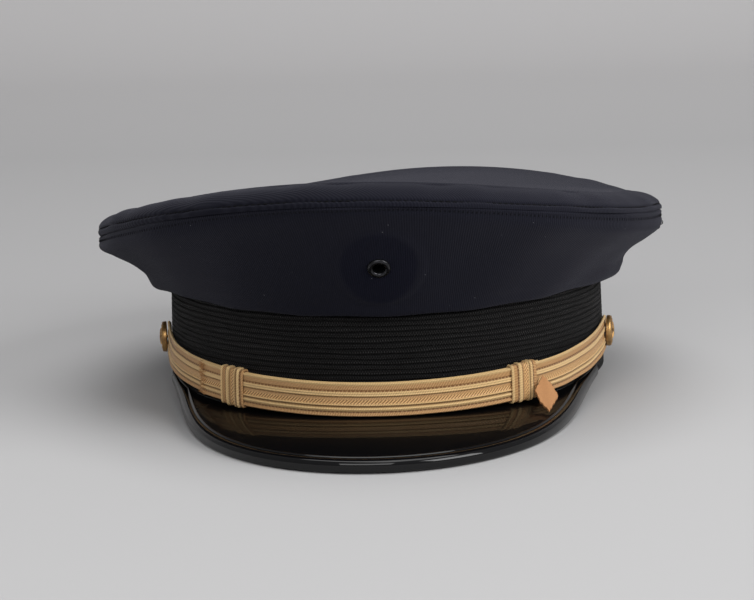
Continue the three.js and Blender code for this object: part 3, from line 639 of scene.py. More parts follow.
TAN_THREAD = cloth("tan_thread", (0.30, 0.17, 0.07), (0.60, 0.40, 0.20), 0.3, 0.6, 0.1)
RAW_THREAD = cloth("raw_lace_ends", (0.27, 0.105, 0.03), (0.70, 0.38, 0.14), 0.4, 0.7, 0.1)
LINING = satin()
SHIELD = clear_shield()


# ------------------------------------------------------------ band
def rib_relief(z):
    """The braid's surface across its ribs: a deep groove between ribs, a fine one along each."""
    from_rib = np.abs((z / RIB_PITCH + 0.5) % 1 - 0.5) * RIB_PITCH
    from_middle = RIB_PITCH / 2 - from_rib
    return -0.85 * bump(from_rib, 0, 0.30) - 0.22 * bump(from_middle, 0, 0.16)


def make_braid():
    angles = np.linspace(-BRAID_SEAM, BRAID_SEAM, 420)[:, None]
    z = np.linspace(0.02, BAND_HEIGHT - 0.02, RIBS * 9)[None]
    waver = 0.16 * np.sin(np.radians(angles) * 7 + z * 0.35) + 0.10 * np.sin(np.radians(angles) * 23 + z)
    edge = -0.5 * (bump(z, 0, 0.35) + bump(z, BAND_HEIGHT, 0.35))
    swell = 0.10 * np.sin(np.radians(angles) * 5 + 1) * np.sin(z / BAND_HEIGHT * math.pi)
    face = band_in(z) + rib_relief(z + waver) + edge + swell
    ends = z[:, [0, -1]]
    rings = slab(angles, (face, z), (band_in(ends) - BRAID, ends))
    back = np.broadcast_to(ends[:, ::-1], (len(angles), 2))
    v = np.concatenate([z + waver, back, (z + waver)[:, :1]], axis=1)
    mesh = Mesh().loft(rings, together(np.radians(angles) * MEAN_RADIUS, v))
    mesh.build("ribbed_braid", BLACK_BRAID, replaces=["braid_band"], slot="black_braid")


def make_sweatband():
    angles = np.linspace(-BACK_SEAM, BACK_SEAM, 320)[:, None]
    share = np.linspace(0, 1, 46)[None]
    out = SWEATBAND_OUT - SWEATBAND_LEAN * share
    z = GAP + (SWEATBAND_HEIGHT - GAP) * share
    wave = 0.3 * np.sin(np.radians(angles) * 9) * share**2
    tooled = -0.22 * (bump(z, 5.6, 0.4) + bump(z, SWEATBAND_HEIGHT - 3, 0.4))
    reed = 0.55 * bump(z, 1.6, 1.0)
    mesh = Mesh().loft(slab(angles, (out - 1.2 + wave - reed - tooled, z), (out + wave, z)))
    mesh.build("leather_sweatband", BAND_LEATHER, replaces=["sweatband"], slot="tan_leather")

    row = Mesh()
    turn = np.linspace(-178, 178, 1400)
    path = beside(turn, SWEATBAND_OUT - 1.62, 3.4)
    inwards = -beside(turn, 0, 0) / np.linalg.norm(beside(turn, 0, 0), axis=1, keepdims=True)
    stitches(row, path, inwards, 3.0, 2.2, 0.24)
    row.build("sweatband_stitches", TAN_THREAD, slot="tan_leather")


def make_seam_tape():
    """Ribbed tape between the sweatband's foot and the band's frame."""
    angles = np.linspace(82.5, 277.5, 260)[:, None]
    turn = full_turn(20)[None]
    rib = 0.10 * np.sin(np.radians(angles) * 300)
    out = -4.55 + (0.7 + rib) * np.sign(np.cos(turn)) * np.abs(np.cos(turn)) ** 0.4
    z = 2.0 + 1.55 * np.sign(np.sin(turn)) * np.abs(np.sin(turn)) ** 0.4
    mesh = Mesh().loft(beside(angles, out, z))
    mesh.build("seam_tape", RIBBON, replaces=["sweatband_seam_tape"], slot="ribbon")


def make_bow():
    """The bow that ties the sweatband's ends: two pinched loops, a knot and two tails."""
    inside = HALF_LENGTH + SWEATBAND_OUT - SWEATBAND_LEAN - 1.2
    t = np.linspace(0, 1, 22)[:, None]
    turn = full_turn(28)[None]
    swell = np.sin(math.pi * np.clip(t, 0.02, 0.98)) ** 0.6
    mesh = Mesh()
    for side in (-1, 1):
        x = side * (0.6 + 7.2 * t)
        y = inside - 1.3 - 0.55 * np.cos(turn) * (0.4 + swell)
        z = 38.0 + (1.2 + 2.8 * swell) * np.sin(turn) + 0.25 * np.sin(turn * 6) * swell
        mesh.loft(together(x, y, z))
        tail = [(0, inside - 1.4, 37.4), (side * 2.4, inside - 1.3, 35.4), (side * 4.6, inside - 1.0, 34.0)]
        mesh.tube(curve_through(tail, 10), np.linspace(0.5, 1.5, 10), 8, 0.25, (0, 1, 0))
    knot = [(0, inside - 1.5, 36.3), (0, inside - 2.0, 38), (0, inside - 1.5, 39.7)]
    knot_radius = 0.9 + 0.4 * np.sin(np.linspace(0, math.pi, 10))
    mesh.tube(curve_through(knot, 10), knot_radius, 12, 1.0, (0, 1, 0))
    mesh.build("sweatband_ribbon_bow", RIBBON, replaces=["sweatband_bow"], slot="ribbon")


# ------------------------------------------------------------ crown
# The side wall from the band to the rim seam, as shares of its overhang and rise.
FRONT_PROFILE = [
    (0, 0), (0.1, 0.01), (0.19, 0.1), (0.33, 0.27), (0.52, 0.5), (0.74, 0.73), (0.92, 0.9), (1, 1),
]
SIDE_PROFILE = [
    (0, 0), (0.14, 0.03), (0.26, 0.12), (0.4, 0.27), (0.6, 0.45), (0.81, 0.58), (1, 0.74), (1, 1),
]
WALL_FOOT = BAND_HEIGHT + GAP


def wall_line(angles, count):
    """Outer lines of the side wall, [angle, point, (out, z)]."""
    side = (np.sin(np.radians(angles)) ** 2)[:, None, None]
    front, flank = (curve_through(profile, count)[None] for profile in (FRONT_PROFILE, SIDE_PROFILE))
    shares = lerp(front, flank, side)
    start = float(band_in(BAND_HEIGHT))
    out = start + shares[..., 0] * (rim_out(angles)[:, None] - start)
    z = WALL_FOOT + shares[..., 1] * (rim_height(angles)[:, None] - WALL_FOOT)
    return together(out, z)


def eyelet_site():
    """Where the eyelet's axis meets the front panel, the axis, and how far up the cloth that is."""
    line = wall_line(np.array([EYELET_ANGLE]), 400)[0]
    i = int(np.argmax(line[:, 1] > EYELET_HEIGHT))
    low, high = line[i - 6], line[i + 6]
    slope = high - low
    axis = np.array(outwards(EYELET_ANGLE) * slope[1]) - (0, 0, slope[0])
    up = float(lengths_along(line, 0)[i])
    return beside(EYELET_ANGLE, line[i, 0], line[i, 1]), axis / np.linalg.norm(axis), up


WALL_RADIUS = MEAN_RADIUS + 18
EYE, EYE_AXIS, EYE_UP = eyelet_site()
NAVY_FRONT = twill("navy_twill_front", 0.06, (math.radians(EYELET_ANGLE) * WALL_RADIUS, EYE_UP))


def wall_relief(points, angles, rise, edge_distance):
    """Relief of the front and sides: waves, the patch's print, turned-in seams, hem, hang and slack."""
    a = np.radians(angles)[:, None]
    waves = 0.35 * np.sin(a * 9 + rise * 3) * rise + 0.22 * np.sin(a * 17 - rise * 5 + 1)
    from_eye = np.linalg.norm(points - EYE, axis=-1)
    patch = 0.42 * smoothstep(from_eye, PATCH_PRINT_RADIUS + 1.4, PATCH_PRINT_RADIUS - 0.6)
    dimple = -0.55 * bump(from_eye, 0, 5.5)
    calm = smoothstep(from_eye, 4, 30)
    turned = -0.75 * bump(edge_distance, 0, 0.7)[:, None] + 0.16 * bump(edge_distance, 3.0, 1.2)[:, None]
    hem = -0.22 * bump(rise, 0.93, 0.014) + 0.22 * bump(rise, 0.985, 0.008)
    hang = 3.3 * smoothstep(np.abs(angles), 55, 86)[:, None] * bump(rise, 0.21, 0.14)
    quarters = smoothstep(np.abs(angles), 90, 97)[:, None]
    slack = 1.6 * bump(rise, 0.30, 0.12) + 0.9 * bump(rise, 0.82, 0.10)
    return waves * calm + patch + dimple + turned + hem + hang + quarters * slack


def wall_panel(name, first, last, node):
    columns = int(abs(last - first) / 0.55)
    rows = 58
    angles = np.linspace(first, last, columns)
    line = wall_line(angles, rows)
    rise = np.linspace(0, 1, rows)[None]
    plain = beside(angles[:, None], line[..., 0], line[..., 1])
    travelled = np.radians(angles) * WALL_RADIUS
    edge = np.minimum(travelled - travelled[0], travelled[-1] - travelled)
    relief = wall_relief(plain, angles, rise, edge)
    centre = np.cos(np.radians(angles))[:, None]
    sag = FRONT_SAG * np.maximum(centre, 0) ** 2 + 0.5
    fold = np.where(rise < 0.5, bump(rise, 0.10, 0.09), 0)
    tuck = -0.5 * smoothstep(rise, 0.98, 1.0)
    left = square_to(line)
    face = line - left * relief[..., None]
    face[..., 1] -= sag * fold
    face[..., 0] += tuck
    back = line + left * CLOTH
    back[..., 1] = np.clip(back[..., 1] - sag * fold, WALL_FOOT - 0.1, rim_height(angles)[:, None])
    section = np.concatenate([face, back[:, ::-1]], axis=1)
    rings = beside(angles[:, None], section[..., 0], section[..., 1])
    up = lengths_along(plain, 1)
    up = np.concatenate([up, up[:, ::-1], up[:, :1]], axis=1)
    mesh = Mesh().loft(rings, together(travelled[:, None], up))
    if name == "front_panel":
        pierce(mesh)
    mesh.build(name, NAVY_FRONT, replaces=[node], slot="navy_twill")


def pierce(mesh):
    """Opens the front panel round the eyelet's barrel: faces over the hole go, the rest move aside."""
    points = np.array(mesh.points)
    offset = points - EYE
    depth = offset @ EYE_AXIS
    flat = offset - depth[:, None] * EYE_AXIS
    radius = np.linalg.norm(flat, axis=1)
    near = (radius < EYELET_FLANGE) & (np.abs(depth) < EYELET_DEPTH)
    kept_faces, kept_uvs, start = [], [], 0
    for face in mesh.faces:
        end = start + len(face)
        if not near[face].all() or np.linalg.norm(flat[face].mean(axis=0)) > EYELET_BORE * 0.75:
            kept_faces.append(face)
            kept_uvs += mesh.uvs[start:end]
        start = end
    mesh.faces, mesh.uvs = kept_faces, kept_uvs
    hole = EYELET_BARREL + 0.1
    moved_to = hole + radius / EYELET_FLANGE * (EYELET_FLANGE - hole)
    scale = np.where(near, moved_to / np.maximum(radius, 1e-6), 1)
    points += flat * (scale - 1)[:, None]
    mesh.points = points.tolist()


def shoulder(angles, turn, lift, shrink=0.0):
    """Points over the crown's shoulder at a turn from the rim (0) to the hoop (90 degrees)."""
    width, rise = SHOULDER_WIDTH - shrink, SHOULDER_RISE - shrink
    out = rim_out(angles) - SHOULDER_WIDTH + width * np.cos(turn)
    z = rim_height(angles) + SEAM_GAP + rise * np.sin(turn)
    side = np.sin(np.radians(angles))
    lift = lift + (SHOULDER_FULLNESS * side**2 - SHOULDER_SWELL * side) * math.sin(2 * turn)
    normal = np.array([np.cos(turn) / width, np.sin(turn) / rise])
    normal /= np.linalg.norm(normal)
    return beside(angles, out + normal[0] * lift, z + normal[1] * lift)


def level_ring(angles, out, share, lift):
    """Points round the inside of the crown, at a share of the way out to a line beside the band."""
    ring = beside(angles, out, 0) * share
    ring[:, 2] = BAND_HEIGHT + MEAN_RISE + lift + crown_rise(angles, share)
    return ring


def shoulder_lengths(turns):
    """Distance up the cloth from the rim seam at each turn."""
    return lengths_along(together(SHOULDER_WIDTH * np.cos(turns), SHOULDER_RISE * np.sin(turns)), 0)


def make_crown_top():
    angles = all_round(480)
    turns = np.linspace(0, math.pi / 2, 44)
    up = shoulder_lengths(turns)
    relief = 0.12 * bump(up, 1.1, 0.8) - 0.45 * bump(up, TOPSTITCH_INSET, 0.42)
    relief += 0.08 * bump(up, TOPSTITCH_INSET + 1.6, 1.0) + 0.4 * bump(up, up[-1], 1.7)
    a = np.radians(angles)
    ripple = 0.16 * np.sin(a * 21) + 0.12 * np.sin(a * 34 + 2)
    shares = np.linspace(1, 0, 46)[1:-1] ** 0.9
    top = SEAM_GAP + SHOULDER_RISE
    hoop_line = rim_out(angles) - SHOULDER_WIDTH

    def drum(share):
        inset = (1 - share) * MEAN_RADIUS
        hoop = 0.55 * bump(inset, 0, 2.2)
        slack = -0.6 * smoothstep(inset, 1.5, 16)
        dent = 0.5 * np.sin(a * 3 + 0.6) * share * (1 - share)
        return level_ring(angles, hoop_line, share, top + hoop + slack + dent)

    rings = [level_ring(angles, hoop_line, s, top - CLOTH - 1.0) for s in (0.02, 0.3, 0.6, 0.9)]
    rings += [shoulder(angles, t, 0.0, CLOTH) for t in np.linspace(math.pi / 2, 0, 8)]
    rings += [shoulder(angles, t, r + ripple * min(1, 4 * t) * (t < 1.4)) for t, r in zip(turns, relief)]
    rings = np.array(rings + [drum(s) for s in (*shares, 0.02)])
    wrapped = np.concatenate([rings, rings[:, :1]], axis=1)
    mesh = Mesh().loft(rings, wrapped[..., :2])
    mesh.build("crown_top", NAVY_TOP, replaces=["crown_top_panel"], slot="navy_twill")


def make_rim_stitches():
    """The topstitching that holds the seam's turnings, just above the rim."""
    turns = np.linspace(0, 1.2, 300)
    turn = float(np.interp(TOPSTITCH_INSET, shoulder_lengths(turns), turns))
    angles = np.linspace(-180, 180, 3000)
    path = shoulder(angles, turn, -0.36)
    raised = shoulder(angles, turn, 0.64)
    mesh = Mesh()
    stitches(mesh, path, raised - path, STITCH_PITCH, 1.9, 0.26, 0.1)
    mesh.build("rim_stitches", THREAD, slot="navy_twill")


def make_seam_stitches():
    """Stitches beside the two side seams of the crown."""
    mesh = Mesh()
    for angle in (-SEAM_STITCH_ANGLE, SEAM_STITCH_ANGLE):
        line = wall_line(np.array([angle]), 200)[0]
        left = square_to(line)
        path = beside(angle, line[:, 0], line[:, 1])[8:-10]
        lifted = beside(angle, line[:, 0] - left[:, 0], line[:, 1] - left[:, 1])[8:-10]
        stitches(mesh, path, lifted - path, STITCH_PITCH, 1.9, 0.22, 0.3)
    mesh.build("side_seam_stitches", THREAD, slot="navy_twill")


def make_needle_marks():
    """Short upright needle marks in the front panel, just under the rim seam."""
    angles = np.arange(-87, 87, 0.86)
    line = wall_line(angles, 100)
    plain = beside(angles[:, None], line[..., 0], line[..., 1])
    far_from_edge = np.full(len(angles), 50.0)
    relief = wall_relief(plain, angles, np.linspace(0, 1, 100)[None], far_from_edge)
    face = line - square_to(line) * relief[..., None]
    mesh = Mesh()
    for angle, mark in zip(angles, face[:, 93:96]):
        mesh.tube(beside(angle, mark[:, 0], mark[:, 1]), 0.18, 5)
    mesh.build("needle_marks", THREAD, slot="navy_twill")


def turned_about(profile, at, axis, sides=96):
    """Rings of [radius, height] profile points about an axis through a point."""
    axis = Vector(axis).normalized()
    across = axis.cross(Vector((0, 0, 1))).normalized()
    up = across.cross(axis)
    turn = full_turn(sides)
    wheel = np.outer(np.cos(turn), across) + np.outer(np.sin(turn), up)
    return np.array([np.asarray(at) + wheel * r + np.array(axis) * h for r, h in profile])


def make_eyelet():
    """A japanned eyelet with a rolled flange, pressed into the cloth."""
    mid = (EYELET_BORE + EYELET_FLANGE) / 2
    half = (EYELET_FLANGE - EYELET_BORE) / 2
    roll = np.linspace(math.pi, 0, 18)
    profile = [(EYELET_BORE, -EYELET_DEPTH)] + [
        (mid + half * math.cos(t), 0.05 + 1.05 * math.sin(t)) for t in roll
    ]
    profile += [(EYELET_FLANGE - 0.25, -0.15), (EYELET_BARREL, -0.2), (EYELET_BARREL, -EYELET_DEPTH)]
    mesh = Mesh().loft(turned_about(profile, EYE, EYE_AXIS), path_closed=True)
    mesh.build("japanned_eyelet", ENAMEL, replaces=["badge_eyelet"], slot="black_enamel")


def make_lining():
    """Satin lining: a smooth disc over a side that is gathered into the sweatband."""
    angles = all_round(480)

    def disc(share, lift):
        pleat = 0.22 * np.sin(np.radians(angles) * 36) * smoothstep(share, 0.75, 1.0)
        return level_ring(angles, LINING_EDGE, share, lift + pleat)

    shares = np.linspace(0.02, 1, 26)
    rings = [disc(s, LINING_LIFT - 0.5) for s in shares] + [disc(s, LINING_LIFT) for s in shares[::-1]]
    Mesh().loft(rings).build("lining_disc", LINING, replaces=["lining_top"], slot="satin")

    a = angles[:, None]
    head = SWEATBAND_OUT - SWEATBAND_LEAN
    foot, high = WALL_FOOT + 6.6, rim_height(a) + LINING_LIFT - 1.2
    t = np.linspace(0, 1, 22)[None]
    gather = 0.42 * np.sin(np.radians(a) * 90) * (1 - t) ** 1.5 + 0.25 * np.sin(np.radians(a) * 31 + 2 * t)
    out = lerp(head, LINING_EDGE - 0.6, t) + 0.3 + gather * 0.6
    z = lerp(foot, high, t)
    side = Mesh().loft(slab(a, (out, z), (out + 0.35, z)), path_closed=True)
    side.build("lining_wall", LINING, replaces=["lining_side"], slot="satin")


def make_shield():
    """The clear oval shield under the lining's middle, with a pressed border."""
    angles = all_round(180)

    def oval(share, lift):
        border = -0.25 * bump(share, 0.585, 0.015)
        return level_ring(angles, LINING_EDGE, share, LINING_LIFT + lift + border)

    shares = np.linspace(0.02, 0.62, 40)
    mesh = Mesh().loft([oval(s, -1.3) for s in shares] + [oval(s, -0.9) for s in shares[::-1]])
    mesh.build("sweat_shield_clear", SHIELD, replaces=["sweat_shield"], slot="celluloid")


# ------------------------------------------------------------ visor
def make_visor_skin():
    angles = np.linspace(-73, 73, 260)[:, None]
    last = visor_reach(angles) - 0.85
    t = np.linspace(0, 1, 60)[None]
    out = lerp(GAP, np.maximum(last, GAP + 0.3), t)
    sway = 0.12 * np.sin(np.radians(angles) * 6 + t * 4) * np.sin(t * math.pi)
    top = visor_top(angles, out)
    mesh = Mesh().loft(slab(angles, (out, top + sway), (out, top - VISOR_SKIN)))
    mesh.build("patent_visor", VISOR_PATENT, replaces=["visor_top_skin"], slot="patent_leather")


def binding_section(angle):
    """The rolled edge's outline at one angle: a bead, a groove, a rounded top and the side."""
    reach = float(visor_reach(angle))
    width = min(BINDING_WIDTH, max(reach - GAP, 0.9))
    lip = reach - width
    k = width / BINDING_WIDTH
    low = -VISOR_STACK - VISOR_SEAT

    def at(out, lift):
        return out, float(visor_top(angle, out)) + lift

    return [
        at(lip, 0.1), at(lip - 0.05 * k, 0.35), at(lip + 0.3 * k, 0.66), at(lip + 0.7 * k, 0.64),
        at(lip + 1.1 * k, 0.42), at(lip + 1.6 * k, 0.42), at(lip + 2.2 * k, 0.66), at(lip + 3.2 * k, 0.80),
        at(reach - 0.3 * k, 0.72), at(reach + 0.35, 0.2), at(reach + 0.6, -0.6), at(reach + 0.55, -1.8),
        at(reach + 0.45, low + 0.3), at(reach + 0.05, low - 0.35), at(reach - 0.7 * k, low - 0.6),
        at(lip + 0.5 * k, low - 0.6), at(lip, low - 0.35), at(lip + 0.3 * k, low - 0.05),
        at(reach - 0.75, low - 0.02), at(reach - 0.62, low + 0.4), at(reach - 0.62, -0.1),
        at(reach - 0.9 * k, 0.12),
    ]


def make_binding():
    angles = np.linspace(-72.5, 72.5, 300)
    rings = []
    for angle in angles:
        outline = binding_section(angle)
        section = curve_through(outline + outline[:1], 73)[:-1]
        rings.append(beside(angle, section[:, 0], section[:, 1]))
    mesh = Mesh().loft(rings)
    mesh.build("rolled_binding", EDGE_PATENT, replaces=["visor_binding"], slot="black_leather", sharp=55)


def make_visor_underside():
    angles = np.linspace(-71, 71, 220)[:, None]
    t = np.linspace(0, 1, 40)[None]
    out = lerp(GAP, np.maximum(visor_reach(angles) - 0.85, GAP + 0.3), t)
    depth = VISOR_STACK - VISOR_LINING
    pucker = 0.1 * np.sin(np.radians(angles) * 40) * bump(t, 0.93, 0.06)
    top = visor_top(angles, out) - depth
    mesh = Mesh().loft(slab(angles, (out, top), (out, top - VISOR_LINING - pucker)))

    angles = np.linspace(-TAB_END, TAB_END, 140)[:, None]
    root = visor_top(angles, 0.0) - depth
    z = lerp(root - VISOR_LINING, TAB_TOP, np.linspace(0, 1, 14)[None])
    mesh.loft(slab(angles, (TAB_IN, z), (TAB_OUT, z)))
    out = np.linspace(TAB_OUT, SHELF_OUT, 8)[None]
    mesh.loft(slab(angles, (out, root), (out, root - VISOR_LINING)))
    mesh.build("visor_lining", UNDERSIDE_LEATHER, replaces=["visor_underside"], slot="black_leather")


# ------------------------------------------------------------ chin strap
def lace_relief(across):
    """The lace's surface, by the distance down from its top edge."""
    raised = [(0.45, 0.4, 0.40), (3.9, 0.42, 0.42), (4.8, 0.36, 0.36), (8.3, 0.34, 0.50), (9.9, 0.48, 0.50)]
    edge = [(12.2, 0.45, 0.40)]
    sunk = [(2.95, 0.22, -0.25), (5.35, 0.2, -0.35), (9.05, 0.24, -0.35), (11.05, 0.26, -0.25)]
    return sum(height * bump(across, middle, width) for middle, width, height in raised + sunk + edge)


def strap_half(name, first, last, ply_at, node):
    angles = np.linspace(first, last, int(abs(last - first) / 0.6))[:, None]
    past = np.maximum(0, np.abs(angles) - BUTTON_ANGLE) / STRAP_ROUNDING
    half = STRAP_WIDTH / 2 * np.sqrt(np.maximum(0.02, 1 - past**2))
    share = np.linspace(0, 1, 60)[None]
    across = share * STRAP_WIDTH
    z = strap_height(angles) + half * (1 - 2 * share)
    inner = stand_off(angles, ply_at(angles))
    sway = 0.14 * np.sin(np.radians(angles) * 19) + 0.10 * np.sin(np.radians(angles) * 31 + share * 4)
    edge = -0.35 * (bump(share, 0, 0.02) + bump(share, 1, 0.02))
    face = inner + PLY - LACE_GROUND + lace_relief(across) + edge + sway * 0.5
    back_z = z[:, ::-8]
    section_z = np.concatenate([z, back_z], axis=1)
    section_out = np.concatenate([face, np.broadcast_to(inner, back_z.shape)], axis=1)
    rings = beside(angles, section_out + band_in(section_z), section_z)
    middle = beside(angles[:, 0], 3.0, strap_height(angles[:, 0]))
    u = lengths_along(middle, 0)[:, None]
    v = np.concatenate([across, across[:, ::-8], across[:, :1]], axis=1)
    Mesh().loft(rings, together(u, v)).build(name, GOLD_LACE, "chin_strap", [node], "gold_lace")


def over_ply(angle):
    """1 where the over half lies on the under half, falling to 0 towards its button."""
    return np.where(angle > 0, 1 - smoothstep(angle, 50, 62), 1.0)


def make_frayed_end():
    """Raw threads out of the over half's cut end, with a few worn loose on its face beside it."""
    mesh = Mesh()
    for start, count, thick in FRAYED_ROWS:
        for share in np.linspace(0.02, 0.98, count) + rng.uniform(-0.02, 0.02, count):
            end = OVER_END + math.degrees((start + rng.uniform(0, 1)) / MEAN_RADIUS) * (start > 0)
            z = float(strap_height(end)) + STRAP_WIDTH / 2 * (1 - 2 * share)
            face = float(stand_off(end, 1)) + PLY - LACE_GROUND + float(lace_relief(share * STRAP_WIDTH))
            out = face + 0.02 if start else face - rng.uniform(0, PLY - 0.3)
            reach = rng.uniform(0.5, 2.2)
            drop, lift = rng.normal(0, 0.5), rng.uniform(-0.1, 0.4)
            bend = [(0.8, 0, 0), (0, 0, 0), (-0.5 * reach, 0.4 * lift, 0.3 * drop), (-reach, lift, drop)]
            path = [beside(end + math.degrees(q[0] / MEAN_RADIUS), out + q[1], z + q[2]) for q in bend]
            mesh.tube(curve_through(path, 8), np.linspace(thick, 0.06, 8), 5)
    mesh.build("frayed_lace_end", RAW_THREAD, "chin_strap", slot="gold_lace")


def make_keeper(name, side, node):
    """A loop of the same lace wound round both halves, its stripes running round the loop."""
    span = math.degrees(KEEPER_HALF / MEAN_RADIUS)
    middle = side * KEEPER_ANGLE
    s = np.linspace(-1, 1, 60)
    rounded = 0.28 * (np.abs(s) ** 6)
    outer = KEEPER_WALL - KEEPER_GROUND + lace_relief((s + 1) / 2 * STRAP_WIDTH) - rounded
    grow = np.concatenate([outer, np.zeros(8)])
    along = np.concatenate([s, np.linspace(1, -1, 8)])
    angles = middle + along * span
    z0 = strap_height(angles)
    inner = stand_off(angles, 0) - KEEPER_CLEARANCE - grow
    outermost = stand_off(angles, 1) + PLY + KEEPER_CLEARANCE + grow
    half = STRAP_WIDTH / 2 + KEEPER_CLEARANCE + grow
    rings = []
    for turn in full_turn(96):
        cos, sin = math.cos(turn), math.sin(turn)
        out = (inner + outermost) / 2 + (outermost - inner) / 2 * math.copysign(abs(cos) ** 0.45, cos)
        z = z0 + half * math.copysign(abs(sin) ** 0.45, sin)
        rings.append(beside(angles, out + band_in(z), z))
    rings = np.array(rings)
    lace_across = (along + 1) / 2 * STRAP_WIDTH
    lace_across = np.append(lace_across, lace_across[0])
    travelled = Mesh.unrolled(rings, True)[..., 0]
    mesh = Mesh().loft(rings, together(travelled, lace_across[None]), path_closed=True)
    mesh.build(name, GOLD_LOOP, node, [node], "gold_lace")


def make_tip():
    """The leather tip: a cut lozenge with rough edges, leaning out from the strap over the visor."""
    closed = np.array(TIP_OUTLINE + TIP_OUTLINE[:1], dtype=float)
    travelled = lengths_along(closed, 0)
    at = np.linspace(0, travelled[-1], 160, endpoint=False)
    outline = read_at(at, travelled, closed)
    middle = outline.mean(axis=0)
    rough = 0.97 + 0.028 * np.sin(at * 2.3) + 0.018 * np.sin(at * 6.1 + 1) + rng.normal(0, 0.007, len(at))
    outline = middle + (outline - middle) * np.minimum(rough, 1.0)[:, None]
    turned = Matrix.Rotation(math.radians(TIP_TURN), 3, "Z")
    across, up, face = (turned @ Matrix.Rotation(math.radians(TIP_SLOPE), 3, "X")).col
    origin = beside(TIP_ANGLE, TIP_OUT, TIP_HEIGHT)

    def layer(share, depth):
        flat = middle + (outline - middle) * share
        curl = 0.25 * ((flat[:, 1] - middle[1]) / 9) ** 2 + 0.08 * np.sin(flat[:, 0] * 1.3)
        raised = np.outer(depth + curl, face)
        return origin + np.outer(flat[:, 0], across) + np.outer(flat[:, 1], up) + raised

    shares = np.linspace(0.04, 0.97, 14)
    edge = [(0.985, 0.12), (1.0, 0.35), (0.985, 0.6), (0.998, 0.85)]
    rings = [layer(s, 0.0) for s in shares] + [layer(s, d * TIP_THICKNESS) for s, d in edge]
    rings += [layer(s, TIP_THICKNESS - 0.02 * s) for s in shares[::-1]]
    mesh = Mesh().loft(rings)
    mesh.build("leather_tip", TIP_LEATHER, "chin_strap", ["chin_strap_tip"], "tan_leather")


# ------------------------------------------------------------ buttons
def star_relief(x, y):
    """A plain five-pointed star with a ridge along each point."""
    turn = (np.arctan2(x, y) + 2 * math.pi) % (2 * math.pi)
    sector = np.abs((turn / (2 * math.pi / 5) + 0.5) % 1 - 0.5) * 2
    radius = np.hypot(x, y)
    from_notch = 1 - sector
    notch = np.cos(math.pi / 5 * from_notch) * (1 - 0.55 * from_notch)
    edge = STAR_RADIUS * 0.40 / np.maximum(notch, 0.2)
    inside = smoothstep(edge - radius, 0, 0.28)
    return inside * (0.42 - 0.22 * sector)


def make_button(side_name, side):
    """A domed gilt button: a star inside a rope ring, with a rolled rim."""
    angle = side * BUTTON_ANGLE
    height = RIGHT_BUTTON_HEIGHT if side < 0 else LEFT_BUTTON_HEIGHT
    at = beside(angle, band_in(height), height)
    axis = outwards(angle)
    across = Vector((0, 0, 1)).cross(axis).normalized()
    seat = BUTTON_STAND_OFF + PLY + BUTTON_GAP
    turn = full_turn(240)

    def ring(radius, lift):
        x, y = radius * np.sin(turn), radius * np.cos(turn)
        lift = np.broadcast_to(lift, turn.shape)
        return at + np.outer(x, across) + np.outer(y, (0, 0, 1)) + np.outer(lift, axis)

    def front(radius):
        dome = seat + 1.3 + (BUTTON_DOME - 1.6) * (1 - (radius / BUTTON_RADIUS) ** 2)
        rope = 0.34 * bump(radius, 4.75, 0.34) * (0.72 + 0.28 * np.sin(turn * 36 + radius * 3))
        rim = 0.38 * bump(radius, 5.8, 0.25)
        stipple = 0.03 * np.sin(turn * 60) * np.sin(radius * 14)
        return dome + rope + rim + stipple + star_relief(radius * np.sin(turn), radius * np.cos(turn))

    rolled = [(0, 1.0), (0, 0.15), (0.15, 0), (0.6, 0), (0.6, 1.0)]  # inset from the rim, height
    rings = [ring(r, front(r)) for r in np.linspace(0.03, BUTTON_RADIUS - 0.12, 74)]
    rings += [ring(BUTTON_RADIUS - inset, seat + high) for inset, high in rolled]
    rings += [ring(r, seat + 1.1) for r in (4.0, 2.0, 0.03)]
    mesh = Mesh().loft(rings)
    body = f"{side_name}_button"
    mesh.build(f"{side_name}_star_button", GILT, body, [f"{side_name}_button_shell"], "gilt_brass")


# ------------------------------------------------------------ carried-over frame nodes
CARRIED = {
    "band_frame front_stay visor_core": BUCKRAM,
    "crown_hoop stay_spring right_split_ring left_split_ring": STEEL,
    "rim_seam_cord": CORD,
    "badge_patch": PATCH_LEATHER,
    "eyelet_washer": ENAMEL,
    "right_button_back left_button_back": GILT,
}


def dress_frame_nodes():
    for names, surface in CARRIED.items():
        for name in names.split():
            mesh = frame["nodes"][name].data
            mesh.materials.clear()
            mesh.materials.append(surface)


# ------------------------------------------------------------ studio
CAMERA_AZIMUTH, CAMERA_ELEVATION, CAMERA_ROLL = 2.89, 10.89, -1.69
CAMERA_DISTANCE, CAMERA_LENS = 1.15, 135.0
AIM = (-3.64, 0.0, 27.74)  # cap-frame millimetres: a point inside the band


def make_camera():
    data = bpy.data.cameras.new("studio_camera")
    data.lens = CAMERA_LENS
    data.sensor_width = 36.0
    camera = add_object("studio_camera", data)
    azimuth, elevation = math.radians(CAMERA_AZIMUTH), math.radians(CAMERA_ELEVATION)
    level = math.cos(elevation)
    back = Vector((math.sin(azimuth) * level, -math.cos(azimuth) * level, math.sin(elevation)))
    aim = Vector(np.array(AIM) + CAP_OFFSET) * MM
    turn = back.to_track_quat("Z", "Y").to_matrix() @ Matrix.Rotation(math.radians(CAMERA_ROLL), 3, "Z")
    camera.matrix_world = Matrix.Translation(aim + back * CAMERA_DISTANCE) @ turn.to_4x4()
    bpy.context.scene.camera = camera


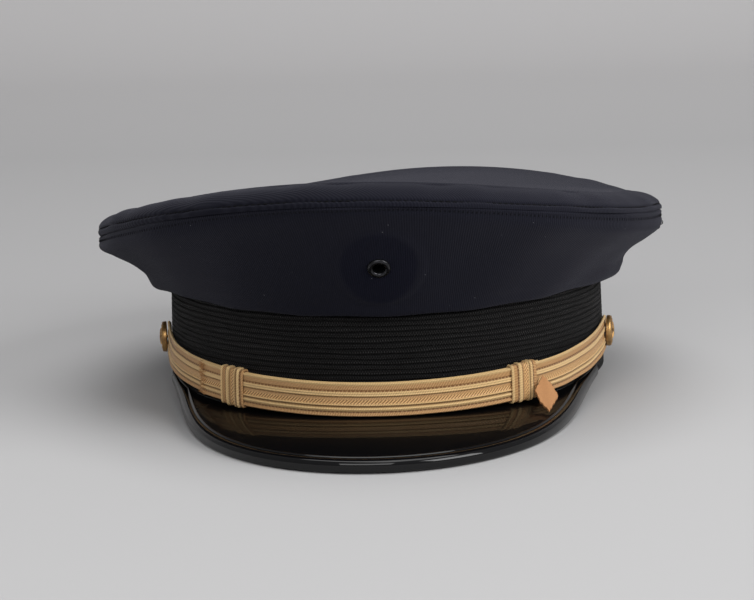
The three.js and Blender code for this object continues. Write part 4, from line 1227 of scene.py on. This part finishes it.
def make_backdrop():
    """A floor that sweeps up behind the cap in one seamless curve."""
    half, front, bend, radius, top = 2.6, -2.4, 1.1, 0.7, 2.6
    arc = np.linspace(0, math.pi / 2, 24)
    line = [(front, 0.0)]
    line += [(bend + radius * math.sin(t), radius * (1 - math.cos(t))) for t in arc]
    line.append((bend + radius, top))
    mesh = bpy.data.meshes.new("seamless_backdrop")
    points = [(x, y, z) for y, z in line for x in (-half, half)]
    faces = [(2 * i, 2 * i + 1, 2 * i + 3, 2 * i + 2) for i in range(len(line) - 1)]
    mesh.from_pydata(points, [], faces)
    mesh.polygons.foreach_set("use_smooth", [True] * len(faces))
    mesh.materials.append(backdrop())
    paper = add_object("seamless_backdrop", mesh)


# Softboxes: place and size in metres, power in watts. All of them point at LIT_POINT.
LIT_POINT = Vector((0.0, 0.0, 0.04))
SOFTBOXES = {
    "key_right": ((1.7, -1.0, 1.1), (1.4, 1.2), 31.0),
    "overhead": ((0.1, 0.1, 1.7), (1.7, 1.3), 17.0),
    "front_fill": ((-0.2, -1.9, 1.1), (1.4, 1.0), 13.0),
}


def make_lights():
    for name, (place, size, power) in SOFTBOXES.items():
        data = bpy.data.lights.new(name, "AREA")
        data.shape = "RECTANGLE"
        data.size, data.size_y = size
        data.energy = power
        lamp = add_object(name, data)
        lamp.location = place
        lamp.rotation_euler = (Vector(place) - LIT_POINT).to_track_quat("Z", "Y").to_euler()
    world = bpy.data.worlds.new("studio_air")
    world.use_nodes = True
    air = world.node_tree.nodes["Background"]
    air.inputs[0].default_value = (0.80, 0.80, 0.815, 1.0)
    air.inputs[1].default_value = 0.29
    bpy.context.scene.world = world
    bpy.context.scene.view_settings.view_transform = "Standard"


# ------------------------------------------------------------ assembly
make_camera()
make_braid()
make_sweatband()
make_seam_tape()
make_bow()
wall_panel("front_panel", -FRONT_END, FRONT_END, "crown_front_panel")
wall_panel("left_quarter", QUARTER_START, QUARTER_END, "crown_left_quarter")
wall_panel("right_quarter", -QUARTER_END, -QUARTER_START, "crown_right_quarter")
make_crown_top()
make_rim_stitches()
make_seam_stitches()
make_needle_marks()
make_eyelet()
make_lining()
make_shield()
make_visor_skin()
make_binding()
make_visor_underside()
strap_half("strap_under", -STRAP_END, UNDER_END, np.zeros_like, "chin_strap_under")
strap_half("strap_over", STRAP_END, OVER_END, over_ply, "chin_strap_over")
make_frayed_end()
make_keeper("right_lace_keeper", -1, "right_keeper")
make_keeper("left_lace_keeper", 1, "left_keeper")
make_tip()
make_button("right", -1)
make_button("left", 1)
dress_frame_nodes()
make_backdrop()
make_lights()
